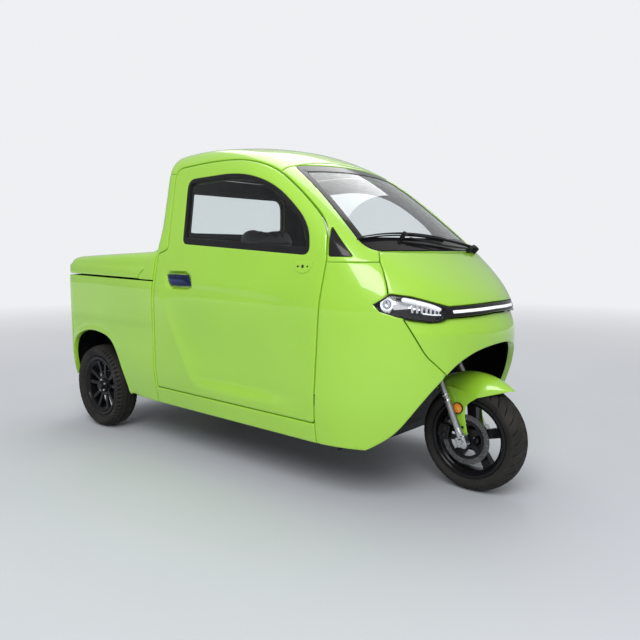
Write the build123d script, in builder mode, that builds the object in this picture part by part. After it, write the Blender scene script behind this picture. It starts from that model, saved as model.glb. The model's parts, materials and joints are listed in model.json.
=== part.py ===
from build123d import *
from math import cos, hypot, radians, sin
import os

# Three-wheeled electric pickup: an enclosed cab with two doors, a lidded cargo bed,
# one steered front wheel in a fork and two rear wheels on a rigid axle.
# +X points forward, +Y to the car's left, +Z up. The origin is on the ground, under the
# middle of the car. Stations are distances along X from the front axle, forward positive.

# ---------------------------------------------------------------- whole car
LENGTH = 2800.0
WIDTH = 1200.0
HEIGHT = 1620.0
HALF = WIDTH / 2
# The outlines below are drawn for a car 2800 long, 1200 wide and 1620 high, and are
# stretched with it: stations by ALONG, places across by ACROSS, heights by UP.
ALONG = LENGTH / 2800.0
ACROSS = WIDTH / 1200.0
UP = HEIGHT / 1620.0
WALL = 30.0              # thickness of doors, wings, roof and bed walls
SHUT_GAP = 6.0           # gap round a door
SEAM = 0.6               # joint between two fixed panels
FIT = 0.4                # clearance between a panel and what it seats on
OVERCUT = 1.0            # how far a cutter runs past what it cuts

# ---------------------------------------------------------------- wheels and axles
FRONT_TYRE_R = 242.0
FRONT_TYRE_W = 124.0
REAR_TYRE_R = 248.0
REAR_TYRE_W = 135.0
FRONT_SHOULDER = 34.0    # how far the tread falls from its middle to the shoulder
REAR_SHOULDER = 24.0
BEAD_R = 165.0           # bead seat of a 13 inch rim
FLANGE_R = 178.0
FRONT_AXLE_X = LENGTH / 2 - FRONT_TYRE_R
FRONT_AXLE_R = 8.0
REAR_OVERHANG = 350.0    # rear axle to tail
REAR_AXLE_X = REAR_OVERHANG - LENGTH / 2
REAR_WHEEL_INSET = 75.0  # wheel centre inside the body side
REAR_WHEEL_Y = HALF - REAR_WHEEL_INSET
STUB_R = 15.0            # rear wheel spindle
RUNNING = 0.05           # radial clearance of a spindle in its hub

# ---------------------------------------------------------------- heights of the body
SILL_Z = 235.0
TUCK_Z = 420.0 * UP      # the side is widest from here
WAIST_Z = 870.0 * UP     # to here
BELT_Z = 1065.0 * UP
TUCK_IN = 55.0           # how far the sill tucks in
SHOULDER_IN = 38.0       # how far the side has come in at the belt
ROOF_IN = 150.0          # and at roof height
SECTION_TOP = HEIGHT + 20.0       # the section of the sides runs on above the roof
DOOR_BOTTOM = 335.0 * UP
SPLIT_Z = 1040.0 * UP    # joint between wings and windscreen frame
ROOF_JOINT_Z = 1440.0 * UP
INNER_BELT_Z = BELT_Z - 40.0      # the rear wall's corners are thick above this height

# ---------------------------------------------------------------- cab form, in stations
CAB_REAR = -1594.0 * ALONG
NOSE_TIP = 119.0 * ALONG
NOSE_IN = 10.0           # the nose is this much narrower than the body at each side
ROOF_PEAK = -1371.0 * ALONG
ROOF_R = 1900.0          # the roof is part of a sphere
SLOPE_R = 1900.0         # crown of windscreen and bonnet, across the car
HEADER = (-698.0 * ALONG, 1492.0 * UP)
COWL = (-131.0 * ALONG, 1053.0 * UP)
LAMP_LINE = (109.0 * ALONG, 840.0 * UP)
ROOF_FRONT = HEADER[0] - 60.0     # joint between roof and windscreen frame
CORNER_R = 50.0          # rounding along roof sides, screen pillars and bonnet edge
GLASS_OUT = 10.0         # glass surface below the panel surface
GLASS_T = 6.0
SHADOW_Z = 100.0         # open bottom of the inner form, below the sill

CAB_REAR_X = FRONT_AXLE_X + CAB_REAR
NOSE_TIP_X = FRONT_AXLE_X + NOSE_TIP


def side_drawn(points):
    """Outline of (station, height) seen from the side, stretched to the car's size."""
    return tuple((x * ALONG, z * UP) for x, z in points)


def front_drawn(points):
    """Outline of (y, height) seen from the front, stretched to the car's size."""
    return tuple((y * ACROSS, z * UP) for y, z in points)


# Door, its window and the quarter trim: (station, height) seen from the side.
DOOR = side_drawn((
    (-443, 335), (-397, 1030), (-422, 1175), (-607, 1326), (-793, 1449), (-1000, 1506),
    (-1250, 1510), (-1514, 1494), (-1496, 1075), (-1573, 1050), (-1573, 335),
))
DOOR_CORNER_R = 14.0
DOOR_INNER_Y = HALF - 155.0       # no part of a door reaches further in than this
WINDOW = side_drawn((
    (-1373, 1103), (-491, 1048), (-519, 1186), (-749, 1365), (-996, 1439), (-1397, 1430),
))
WINDOW_CORNER_R = 30.0
QUARTER = side_drawn(((-391, 1042), (-291, 1042), (-416, 1170)))
# Front wheel opening: (station, height), closed round under the nose.
FRONT_ARCH = tuple((x, z * UP) for x, z in (
    (-311, 230), (-184, 270), (-96, 349), (6, 514), (53, 598), (90, 648), (119, 674),
    (320, 680), (320, 60), (-311, 60),
))
# Wheelhouse liner: a sheet behind and over the front wheel, (station, height) of its middle.
LINER = tuple((x, z * UP) for x, z in (
    (-343, 232), (-313, 400), (-283, 525), (-253, 610), (-208, 668), (-138, 695), (110, 700),
))
LINER_T = 6.0
# Windscreen, bonnet, lamps and nose: (y, height) of one half seen from the front.
SCREEN = front_drawn(((462, 1066), (366, 1460)))
SCREEN_TOP = 1478.0 * UP
SCREEN_CORNER_R = 40.0
BONNET_HALF = 490.0 * ACROSS
BONNET_TOP = (1020.0 * UP, 1046.0 * UP)     # rear seam at the side and on the centre line
FRAME_LOW_Z = BONNET_TOP[0] - 60.0          # the windscreen frame reaches down to here
LAMP = front_drawn((
    (0, 848), (116, 846), (282, 842), (349, 863), (409, 884), (475, 896), (515, 853),
    (503, 823), (465, 803), (415, 788), (364, 780), (324, 784), (291, 798), (188, 801), (0, 808),
))
LAMP_INNER_Y = 288.0 * ACROSS     # light bar between, headlamps outside
BEHIND_LAMP = 20.0                # the bonnet's outline runs on this far under the lamps
NOSE_PANEL = front_drawn(((447, 830), (447, 800), (414, 722), (379, 649), (344, 607), (301, 540)))
REAR_WINDOW = (780.0, 250.0, 60.0)          # width, height, corner radius
REAR_WINDOW_Z = HEIGHT - 350.0

# ---------------------------------------------------------------- door fittings
HANDLE_X = FRONT_AXLE_X - 1374.0 * ALONG
HANDLE_Z = 917.0 * UP
HANDLE_Y = HALF - 9.0    # skin surface at the handle
HANDLE_L = 206.0
HANDLE_H = 44.0
HANDLE_DEPTH = 15.0
HANDLE_BAR = (176.0, 12.0, 26.0)
HANDLE_OUT = 2.0         # the bar stands this far out of the skin
HANDLE_POST = (16.0, 18.0, 12.0)  # length, height, distance from the bar's end
PAD_X = FRONT_AXLE_X - 518.0 * ALONG
PAD_Z = 1000.0 * UP
PAD_Y = HALF - 12.0      # outer face of the pad for a mirror
PAD_T = 26.0
PAD_LENGTH = 92.0
PAD_HEIGHT = 46.0
PAD_PITCH = 52.0
PAD_HOLE_R = 3.0
PAD_CABLE_R = 7.0
PAD_HOLE_DEPTH = 20.0

# ---------------------------------------------------------------- hinges
BARREL_R = 7.0
PIN_R = 3.5
BARREL_L = 50.0
BARREL_CLEAR = 1.2       # radial clearance round a barrel
HINGE_IN = 12.0          # door hinge axis inside the body's greatest width
DOOR_HINGE_Z = (480.0 * UP, 830.0 * UP)
LID_HINGE_Y = 350.0

# ---------------------------------------------------------------- cargo bed
TAIL_X = -LENGTH / 2
BED_FRONT_X = CAB_REAR_X - SEAM
TAIL_CORNER_R = 100.0
BED_EDGE_R = 55.0
BED_TOP = (1075.0 * UP, 1038.0 * UP)        # top surface at the cab and at the tail
BED_BOTTOM_REAR = 285.0
LID_LINE = (910.0 * UP, 928.0 * UP)         # middle of the gap under the lid, cab and tail
LID_GAP = 12.0
STRIP_LENGTH = 124.0              # fixed deck strip between cab and lid
TAIL_PANEL_L = 80.0
DECK_Z = 600.0
DECK_T = 15.0
# Rear wheel arch: (distance from the rear axle, height).
ARCH_REAR = (-270.0, 240.0)
ARCH_TOP_REAR = (-70.0, 588.0)
ARCH_TOP_FRONT = (190.0, 562.0)
ARCH_FRONT = (342.0, 240.0)
ARCH_REAR_LEAN = (0.12, 1)        # directions in which the arch leaves its two feet
ARCH_FRONT_LEAN = (-0.15, 1)
TAIL_LAMP_Z = (735.0 * UP, 880.0 * UP)
TAIL_LAMP_IN = 130.0              # how far a tail lamp reaches in from the side
TAIL_LAMP_L = TAIL_PANEL_L - 15.0 # and how far forward

# ---------------------------------------------------------------- chassis
RAIL_Y = HALF - 270.0
RAIL_W = 40.0
RAIL_H = 40.0
RAIL_FRONT_Z = 214.0
RAIL_RISE_L = 170.0      # length over which the rails rise behind the cab
RAIL_END = 50.0          # from the tail
FRONT_BEAM_X = FRONT_AXLE_X - 378.0
CROSS_X = (FRONT_BEAM_X, FRONT_AXLE_X - 1000.0 * ALONG, CAB_REAR_X + 60.0)
FLOOR_Z = 255.0
FLOOR_T = 15.0
CROSS_W = 50.0
PAN_LAP = 20.0           # floor pan ahead of the front beam
HEAD_TUBE_R = 30.0
DOWN_TUBE_R = 16.0
DOWN_TUBE_Y = 70.0
DOWN_TUBE_CLOSE = 0.6    # how far the down tubes close in, as a share of their half distance
NECK_DROP = 50.0         # they meet the head tube this far below its top
STEM_LEAD = 60.0         # bore of the head tube runs on above it
AXLE_TUBE_R = 38.0
MOTOR_R = 92.0
MOTOR_HALF = 110.0
DRUM_R = 85.0
DRUM_REACH = (100.0, 28.0)        # inner and outer face inside the wheel's middle plane
AXLE_NUT_R = 24.0
AXLE_NUT_T = 15.0
AXLE_NUT_AT = 39.0       # from the wheel's middle plane
PAD_LAP = 7.0            # the spring pads sink this far into the axle tube
SPRING_PAD_L = 70.0
SPRING_Y = RAIL_Y
SPRING_T = 24.0
SPRING_W = 46.0
SPRING_HALF_L = 260.0
SPRING_RISE = 55.0
HANGER_L = 40.0

# ---------------------------------------------------------------- steering
RAKE = 25.0
FORK_OFFSET = 35.0       # axle ahead of the steering axis
LEG_Y = 104.0
LEG_R = 20.0
STANCHION_R = 16.0
YOKE_Z = 345.0           # along the steering axis, from the axle's level
YOKE_T = 34.0
STEM_R = 14.0
HEAD_Z = (395.0, 560.0)
BAR_Z = 830.0
BAR_HALF = 300.0
BAR_R = 11.0
BAR_SWEEP = 100.0
BAR_BEND_R = 60.0
DISC_Y = -72.0
DISC_R = 112.0
DISC_T = 4.0
SLIDER_TOP = 215.0       # top of the fork sliders above the axle, along the steering axis
STANCHION_LOW = 60.0
STANCHION_LAP = 10.0     # of the stanchions in the yoke
AXLE_CLEAR = 6.0         # radial room round the axle in fender stays and disc
FENDER_R = 298.0
FENDER_HALF = 80.0
FENDER_T = 4.0
FENDER_CROWN = 30.0      # drop from the fender's middle to its edges
FENDER_SPAN = (52.0, 134.0)       # degrees above the forward direction
STAY_OUT = 1.5           # middle of a stay outside the fender's edge
STAY_TOP = (-70.0, 60.0, 505.0)   # from and to, as stations, at this height
STAY_FOOT = (-8.0, 22.0) # stations at the axle's height
HUB_R = 30.0
HUB_HALF = 46.0
SPOKES = 5
SPOKE = (128.0, 42.0, 40.0)       # length, width, depth
SPOKE_R = 86.0           # middle of a spoke
SPOKE_START = 18.0       # degrees
NUT_R = 14.0
NUT_T = 10.0
LUG_BELOW = 22.0
CALIPER_TURN = 168.0     # degrees from forward, round the axle
CALIPER_R = 98.0
CALIPER = (70.0, 44.0)
CALIPER_GAP = 7.0
CALIPER_INNER = 17.0     # the caliper reaches this far inside the disc's middle plane
CALIPER_OUTER_Y = LEG_R - LEG_Y - 24.0
BRACKET_T = 5.0
BRACKET = (-59.0, 16.0, 86.0, 32.0)     # station and height of its middle, length, height

REAR_SPOKES = 10
REAR_SPOKE = (108.0, 17.0, 24.0)  # length, width, depth
REAR_SPOKE_R = 96.0
REAR_SPOKE_IN = 12.0     # back of the spokes outside the wheel's middle plane
REAR_HUB_R = 44.0
REAR_BOSS_R = 58.0
REAR_HUB_SPAN = (-20.0, 38.0)
STUB_REACH = 46.0        # end of the stub axle beyond the wheel's middle plane

# ---------------------------------------------------------------- cabin
SEAT_X = FRONT_AXLE_X - 1085.0 * ALONG
SEAT_L = 480.0
SEAT_W = 470.0
SEAT_Z = 478.0
CUSHION_T = 110.0
CUSHION_AHEAD = 20.0     # of the battery box under it
CUSHION_R = (45.0, 28.0) # upright and upper corners
BOX_IN = (40.0, 30.0)    # the battery box is this much shorter and narrower than the cushion
BACK_IN = 40.0           # the backrest is this much narrower
SEAT_GAP = 0.3
# Backrest: (distance from the middle of the seat, height above the cushion).
BACK = ((-238, 0), (-128, 0), (-196, 590), (-214, 632), (-262, 632), (-300, 590))
# Dashboard: (station, height).
DASH = tuple((x, z * UP) for x, z in (
    (-278, 850), (-278, 972), (-240, 1000), (-150, 1000), (-95, 930), (-95, 850),
))

# ---------------------------------------------------------------- rear bumper
BUMPER_Z = 300.0
BUMPER_T = 24.0
BUMPER_H = 50.0
BUMPER_SHORT = 120.0     # the bar ends this far inside the body at each side
BUMPER_IN = 48.0         # its middle from the tail
DROP_W = 30.0
TOW_HOLE_R = 11.0
TOW_HOLE_BACK = 16.0
TOW_PLATE = (76.0, 70.0, 12.0)    # length, width, corner radius
TOW_PLATE_T = 14.0

HALF_GAP = SHUT_GAP / 2
SIDE_VIEW = Plane(origin=(FRONT_AXLE_X, 0, 0), x_dir=(1, 0, 0), z_dir=(0, -1, 0))
REAR_SIDE_VIEW = Plane(origin=(REAR_AXLE_X, 0, 0), x_dir=(1, 0, 0), z_dir=(0, -1, 0))
FRONT_VIEW = Plane.YZ.offset(FRONT_AXLE_X - 900.0 * ALONG)
SIDES = (("right", -1, Keep.TOP), ("left", 1, Keep.BOTTOM))

os.makedirs("parts", exist_ok=True)


def save(piece, name):
    """Label a finished piece and write it as one STEP file."""
    piece.part.label = name
    export_step(piece.part, f"parts/{name}.step")


# ================================================================ forms and cutters
def slope_plane(low, high):
    """Plane across a sloping surface whose centre line runs from low to high."""
    run = high[0] - low[0]
    rise = high[1] - low[1]
    size = hypot(run, rise)
    centre_x = FRONT_AXLE_X + low[0] - SLOPE_R * rise / size
    centre_z = low[1] + SLOPE_R * run / size
    return Plane(origin=(centre_x, 0, centre_z), x_dir=(0, 1, 0), z_dir=(run / size, 0, rise / size))


def cab_form(inset, bottom):
    """Closed outer form of the cab, moved inward by inset, down to the height bottom."""
    nose_r = HALF - NOSE_IN
    nose_x = NOSE_TIP_X - nose_r
    rear = CAB_REAR_X + inset
    half_section = (
        (HALF - TUCK_IN - inset, bottom),
        (HALF - inset, TUCK_Z),
        (HALF - inset, WAIST_Z),
        (HALF - SHOULDER_IN - inset, BELT_Z),
        (HALF - ROOF_IN - inset, SECTION_TOP),
    )
    mirrored = [(-y, z) for y, z in reversed(half_section)]
    with BuildPart() as form:
        with BuildSketch(Plane.YZ.offset(rear)):
            with BuildLine():
                Polyline(*mirrored, *half_section, close=True)
            make_face()
        extrude(amount=LENGTH)
        with Locations((FRONT_AXLE_X + ROOF_PEAK, 0, HEIGHT - ROOF_R)):
            Sphere(ROOF_R - inset, mode=Mode.INTERSECT)
        for low, high in ((COWL, HEADER), (LAMP_LINE, COWL)):
            with BuildSketch(slope_plane(low, high).offset(-LENGTH)):
                Circle(SLOPE_R - inset)
            extrude(amount=2 * LENGTH, mode=Mode.INTERSECT)
        with BuildSketch(Plane.XY):
            with BuildLine():
                Line((nose_x, nose_r - inset), (rear, HALF - inset))
                Line((rear, HALF - inset), (rear, inset - HALF))
                Line((rear, inset - HALF), (nose_x, inset - nose_r))
                ThreePointArc(
                    (nose_x, inset - nose_r), (NOSE_TIP_X - inset, 0), (nose_x, nose_r - inset)
                )
            make_face()
        extrude(amount=HEIGHT + WALL, mode=Mode.INTERSECT)
    return form.part


def is_upper_corner(edge):
    """True for the edges where roof, screen or bonnet meet the sides, nose or rear wall."""
    middle = edge.center()
    on_middle = abs(middle.Y) < OVERCUT
    crosses_top = on_middle and middle.X < NOSE_TIP_X - 2 * OVERCUT
    on_rear = abs(middle.X - CAB_REAR_X) < OVERCUT
    on_header = abs(middle.Z - HEADER[1]) < CORNER_R and abs(middle.Y) < HALF / 2
    on_cab = middle.Z > BELT_Z + OVERCUT
    on_nose = middle.X > NOSE_TIP_X - 400 * ALONG and middle.Z > LAMP_LINE[1] - WALL
    return (on_cab or on_nose) and not (on_rear or crosses_top or on_header)


def side_prism(outline, corner=0.0, margin=0.0, view=SIDE_VIEW):
    """Prism right across the car of an outline seen from the side, grown by margin."""
    with BuildPart() as prism:
        with BuildSketch(view.offset(-WIDTH)) as face:
            with BuildLine():
                Polyline(*outline, close=True)
            make_face()
            if corner:
                fillet(face.vertices(), corner)
            if margin:
                offset(amount=margin)
        extrude(amount=2 * WIDTH)
    return prism.part


def front_prism(half_outline, margin=0.0):
    """Prism along the car of an outline seen from the front, given by its half."""
    mirrored = [(-y, z) for y, z in reversed(half_outline) if y > 0]
    with BuildPart() as prism:
        with BuildSketch(FRONT_VIEW):
            with BuildLine():
                Polyline(*half_outline, *mirrored, close=True)
            make_face()
            if margin:
                offset(amount=margin)
        extrude(amount=LENGTH / 2)
    return prism.part


def screen_prism(margin):
    """Prism along the car of the windscreen outline, grown by margin."""
    (low_y, low_z), (high_y, high_z) = SCREEN
    with BuildPart() as prism:
        with BuildSketch(FRONT_VIEW) as face:
            with BuildLine():
                Line((-low_y, low_z), (low_y, low_z))
                Line((low_y, low_z), (high_y, high_z))
                ThreePointArc((high_y, high_z), (0, SCREEN_TOP), (-high_y, high_z))
                Line((-high_y, high_z), (-low_y, low_z))
            make_face()
            fillet(face.vertices(), SCREEN_CORNER_R)
            offset(amount=margin)
        extrude(amount=LENGTH / 2)
    return prism.part


def region(x_range, y_range, z_range):
    """Plain block between two limits on each axis, used to part one panel from the next."""
    with BuildPart() as block:
        with BuildSketch(Plane.XY.offset(z_range[0])):
            with Locations(((x_range[0] + x_range[1]) / 2, (y_range[0] + y_range[1]) / 2)):
                Rectangle(x_range[1] - x_range[0], y_range[1] - y_range[0])
        extrude(amount=z_range[1] - z_range[0])
    return block.part


with BuildPart() as outer_form:
    add(cab_form(0, SILL_Z))
    fillet(outer_form.edges().filter_by(is_upper_corner), CORNER_R)

inner_form = cab_form(WALL, SHADOW_Z)
liner_form = cab_form(WALL + FIT, SHADOW_Z)

with BuildPart() as cab_skin:
    add(outer_form.part)
    add(inner_form, mode=Mode.SUBTRACT)

with BuildPart() as glass_skin:
    add(cab_form(GLASS_OUT, SHADOW_Z))
    add(cab_form(GLASS_OUT + GLASS_T, SHADOW_Z), mode=Mode.SUBTRACT)

X_ALL = (-LENGTH, LENGTH)
Y_ALL = (-WIDTH, WIDTH)
between_doors = region(X_ALL, (-DOOR_INNER_Y, DOOR_INNER_Y), (0, HEIGHT))
door_hole = side_prism(DOOR, DOOR_CORNER_R, HALF_GAP) - between_doors
door_shape = side_prism(DOOR, DOOR_CORNER_R, -HALF_GAP) - between_doors
window_hole = side_prism(WINDOW, WINDOW_CORNER_R)
window_pane = side_prism(WINDOW, WINDOW_CORNER_R, -FIT)
quarter_hole = side_prism(QUARTER)
quarter_shape = side_prism(QUARTER, margin=-SEAM)
arch_hole = side_prism(FRONT_ARCH)
lamp_hole = front_prism(LAMP, SEAM)
lamp_shape = front_prism(LAMP)
nose_hole = front_prism(NOSE_PANEL, SEAM)
nose_shape = front_prism(NOSE_PANEL)


def bonnet_prism(margin):
    """Prism of the bonnet seen from the front: crowned rear seam, straight sides."""
    half = BONNET_HALF + margin
    side_z, centre_z = (z + margin for z in BONNET_TOP)
    low_z = LAMP[0][1] - BEHIND_LAMP
    with BuildPart() as prism:
        with BuildSketch(FRONT_VIEW):
            with BuildLine():
                Line((-half, low_z), (half, low_z))
                Line((half, low_z), (half, side_z))
                ThreePointArc((half, side_z), (0, centre_z), (-half, side_z))
                Line((-half, side_z), (-half, low_z))
            make_face()
        extrude(amount=LENGTH / 2)
    return prism.part


above_bonnet = region(X_ALL, (-BONNET_HALF - SEAM, BONNET_HALF + SEAM), (FRAME_LOW_Z, HEIGHT))
bonnet_hole = bonnet_prism(SEAM)
bonnet_shape = bonnet_prism(0)

# ================================================================ cab panels
ROOF_FRONT_X = FRONT_AXLE_X + ROOF_FRONT
roof_region = region((CAB_REAR_X - OVERCUT, ROOF_FRONT_X), Y_ALL, (ROOF_JOINT_Z, SECTION_TOP))
roof_cut = region(
    (CAB_REAR_X - OVERCUT, ROOF_FRONT_X + SEAM), Y_ALL, (ROOF_JOINT_Z - SEAM, SECTION_TOP)
)
B_PILLAR_X = FRONT_AXLE_X - 1414.0 * ALONG  # between rear wall and windscreen frame, over a door

with BuildPart() as roof:
    add(cab_skin.part)
    add(roof_region, mode=Mode.INTERSECT)
    add(door_hole, mode=Mode.SUBTRACT)
save(roof, "roof")


def rear_window_prism(margin):
    """Prism through the rear wall of the rear window outline, grown by margin."""
    width, height, corner = REAR_WINDOW
    with BuildPart() as prism:
        with BuildSketch(Plane.YZ.offset(CAB_REAR_X - WALL)):
            with Locations((0, REAR_WINDOW_Z)):
                RectangleRounded(width + 2 * margin, height + 2 * margin, corner + margin)
        extrude(amount=3 * WALL)
    return prism.part


with BuildPart() as cab_rear:
    add(cab_skin.part)
    add(region((-LENGTH, B_PILLAR_X), Y_ALL, (0, ROOF_JOINT_Z - SEAM)), mode=Mode.INTERSECT)
    add(door_hole, mode=Mode.SUBTRACT)
    add(region((CAB_REAR_X + WALL, LENGTH), Y_ALL, (0, INNER_BELT_Z)), mode=Mode.SUBTRACT)
    add(rear_window_prism(0), mode=Mode.SUBTRACT)
save(cab_rear, "cab_rear")

with BuildPart() as rear_window:
    add(glass_skin.part)
    add(rear_window_prism(-FIT), mode=Mode.INTERSECT)
save(rear_window, "rear_window")

with BuildPart() as screen_frame:
    add(cab_skin.part)
    add(region((B_PILLAR_X + SEAM, LENGTH), Y_ALL, (FRAME_LOW_Z, HEIGHT)), mode=Mode.INTERSECT)
    for y in (-1, 1):
        add(
            region(
                (B_PILLAR_X, LENGTH),
                sorted((y * (BONNET_HALF + SEAM), y * WIDTH)),
                (0, SPLIT_Z),
            ),
            mode=Mode.SUBTRACT,
        )
    for cutter in (roof_cut, door_hole, bonnet_hole, screen_prism(0), quarter_hole):
        add(cutter, mode=Mode.SUBTRACT)
save(screen_frame, "screen_frame")

with BuildPart() as windscreen:
    add(glass_skin.part)
    add(screen_prism(-FIT), mode=Mode.INTERSECT)
save(windscreen, "windscreen")

with BuildPart() as quarter_trims:
    add(cab_skin.part)
    add(quarter_shape, mode=Mode.INTERSECT)
save(quarter_trims, "quarter_trims")

with BuildPart() as bonnet:
    add(cab_skin.part)
    add(bonnet_shape, mode=Mode.INTERSECT)
    add(lamp_hole, mode=Mode.SUBTRACT)
save(bonnet, "bonnet")

with BuildPart() as nose_panel:
    add(cab_skin.part)
    add(nose_shape, mode=Mode.INTERSECT)
    add(lamp_hole, mode=Mode.SUBTRACT)
    add(arch_hole, mode=Mode.SUBTRACT)
save(nose_panel, "nose_panel")

with BuildPart() as lamp_band:
    add(cab_skin.part)
    add(lamp_shape, mode=Mode.INTERSECT)

with BuildPart() as light_bar:
    add(lamp_band.part)
    add(region(X_ALL, (-LAMP_INNER_Y, LAMP_INNER_Y), (0, HEIGHT)), mode=Mode.INTERSECT)
save(light_bar, "light_bar")

with BuildPart() as headlamps:
    add(lamp_band.part)
    add(region(X_ALL, (-LAMP_INNER_Y - SEAM, LAMP_INNER_Y + SEAM), (0, HEIGHT)), mode=Mode.SUBTRACT)
save(headlamps, "headlamps")

SILL_FRONT_X = FRONT_AXLE_X + DOOR[0][0]
with BuildPart() as sills:
    add(cab_skin.part)
    add(
        region((CAB_REAR_X + WALL + SEAM, SILL_FRONT_X), Y_ALL, (0, DOOR_BOTTOM)),
        mode=Mode.INTERSECT,
    )
    add(door_hole, mode=Mode.SUBTRACT)
save(sills, "sills")


# ---------------------------------------------------------------- door hinges
def door_hinge_plane(side, height):
    """Plane on the hinge axis of a door, at a height, its normal up the axis."""
    (low_x, low_z), (high_x, high_z) = DOOR[:2]
    lean = (high_x - low_x) / (high_z - low_z)
    x = FRONT_AXLE_X + low_x + lean * (height - low_z)
    size = hypot(lean, 1)
    y = side * (HALF - HINGE_IN)
    return Plane(origin=(x, y, height), x_dir=(1 / size, 0, -lean / size), z_dir=(lean / size, 0, 1 / size))


def barrel(plane, start, end, radius):
    """Round bar on a hinge axis, from start to end along the plane's normal."""
    with BuildPart() as bar:
        with BuildSketch(plane.offset(start)):
            Circle(radius)
        extrude(amount=end - start)
    return bar.part


KNUCKLE = BARREL_L / 2 - FIT
CLEAR_R = BARREL_R + BARREL_CLEAR

for side, sign, keep in SIDES:
    with BuildPart() as wing:
        add(cab_skin.part)
        split(bisect_by=Plane.XZ, keep=keep)
        add(region((SILL_FRONT_X + SEAM, LENGTH), Y_ALL, (0, SPLIT_Z - SEAM)), mode=Mode.INTERSECT)
        for cutter in (door_hole, bonnet_hole, above_bonnet, nose_hole, lamp_hole, arch_hole):
            add(cutter, mode=Mode.SUBTRACT)
        for height in DOOR_HINGE_Z:
            axis = door_hinge_plane(sign, height)
            add(barrel(axis, -KNUCKLE, KNUCKLE, CLEAR_R), mode=Mode.SUBTRACT)
            add(barrel(axis, KNUCKLE + FIT, BARREL_L, BARREL_R))
            add(barrel(axis, -BARREL_L, -KNUCKLE - FIT, BARREL_R))
            add(barrel(axis, -BARREL_L, BARREL_L, PIN_R))
    save(wing, f"wing_{side}")

    with BuildPart() as door:
        add(cab_skin.part)
        split(bisect_by=Plane.XZ, keep=keep)
        add(door_shape, mode=Mode.INTERSECT)
        add(window_hole, mode=Mode.SUBTRACT)
        for height in DOOR_HINGE_Z:
            axis = door_hinge_plane(sign, height)
            add(barrel(axis, KNUCKLE, BARREL_L + OVERCUT, CLEAR_R), mode=Mode.SUBTRACT)
            add(barrel(axis, -BARREL_L - OVERCUT, -KNUCKLE, CLEAR_R), mode=Mode.SUBTRACT)
            add(barrel(axis, -KNUCKLE, KNUCKLE, BARREL_R))
            add(barrel(axis, -BARREL_L, BARREL_L, PIN_R + RUNNING), mode=Mode.SUBTRACT)
        with Locations((HANDLE_X, sign * HANDLE_Y, HANDLE_Z)):
            Box(HANDLE_L, 2 * HANDLE_DEPTH, HANDLE_H, mode=Mode.SUBTRACT)
        pad_view = Plane(origin=(PAD_X, sign * PAD_Y, PAD_Z), x_dir=(1, 0, 0), z_dir=(0, sign, 0))
        with BuildSketch(pad_view.offset(-PAD_T)):
            Ellipse(PAD_LENGTH / 2, PAD_HEIGHT / 2)
        extrude(amount=PAD_T)
        with BuildSketch(pad_view):
            with Locations((-PAD_PITCH / 2, 0), (PAD_PITCH / 2, 0)):
                Circle(PAD_HOLE_R)
            Circle(PAD_CABLE_R)
        extrude(amount=-PAD_HOLE_DEPTH, mode=Mode.SUBTRACT)
    save(door, f"door_{side}")

    with BuildPart() as door_glass:
        add(glass_skin.part)
        split(bisect_by=Plane.XZ, keep=keep)
        add(window_pane, mode=Mode.INTERSECT)
    save(door_glass, f"door_glass_{side}")

    with BuildPart() as handle:
        bar_length, bar_depth, bar_height = HANDLE_BAR
        post_length, post_height, post_in = HANDLE_POST
        with Locations((HANDLE_X, sign * (HANDLE_Y - bar_depth / 2 + HANDLE_OUT), HANDLE_Z)):
            Box(bar_length, bar_depth, bar_height)
        post_depth = HANDLE_DEPTH - FIT - HANDLE_OUT
        post_y = HANDLE_Y - HANDLE_DEPTH + FIT + post_depth / 2
        for end in (-1, 1):
            with Locations((HANDLE_X + end * (bar_length / 2 - post_in), sign * post_y, HANDLE_Z)):
                Box(post_length, post_depth, post_height)
    save(handle, f"handle_{side}")


# ================================================================ cargo bed
BED_L = BED_FRONT_X - TAIL_X
TOP_SLOPE = (BED_TOP[0] - BED_TOP[1]) / BED_L


def bed_form(inset, bottom, front):
    """Closed form of the bed with its lid, moved inward by inset."""
    half_section = ((HALF - TUCK_IN - inset, bottom), (HALF - inset, TUCK_Z), (HALF - inset, HEIGHT))
    mirrored = [(-y, z) for y, z in reversed(half_section)]
    profile = (
        (front, bottom),
        (front, BED_TOP[0] - inset + TOP_SLOPE * (front - BED_FRONT_X)),
        (TAIL_X + inset, BED_TOP[1] - inset),
        (TAIL_X + inset, bottom + (BED_BOTTOM_REAR - SILL_Z)),
    )
    with BuildPart() as form:
        with BuildSketch(Plane.YZ.offset(front)):
            with BuildLine():
                Polyline(*mirrored, *half_section, close=True)
            make_face()
        extrude(amount=TAIL_X - front)
        with BuildSketch(Plane.XZ.offset(-WIDTH)):
            with BuildLine():
                Polyline(*profile, close=True)
            make_face()
        extrude(amount=2 * WIDTH, mode=Mode.INTERSECT)
        tail_posts = [
            edge
            for edge in form.edges().filter_by(Axis.Z)
            if edge.center().X < TAIL_X + inset + OVERCUT and edge.center().Z > TUCK_Z
        ]
        fillet(tail_posts, TAIL_CORNER_R - inset)
    return form.part


with BuildPart() as bed_outer:
    add(bed_form(0, SILL_Z, BED_FRONT_X))
    top_face = bed_outer.faces().sort_by(Axis.Z)[-1]
    fillet([edge for edge in top_face.edges() if edge.center().X < BED_FRONT_X - OVERCUT], BED_EDGE_R)

with BuildPart() as bed_skin:
    add(bed_outer.part)
    add(bed_form(WALL, SHADOW_Z, BED_FRONT_X + WALL), mode=Mode.SUBTRACT)


def lid_line(x, margin):
    """Height of the gap under the lid at x, moved up by margin."""
    along = (BED_FRONT_X - x) / BED_L
    return LID_LINE[0] + along * (LID_LINE[1] - LID_LINE[0]) + margin


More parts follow.
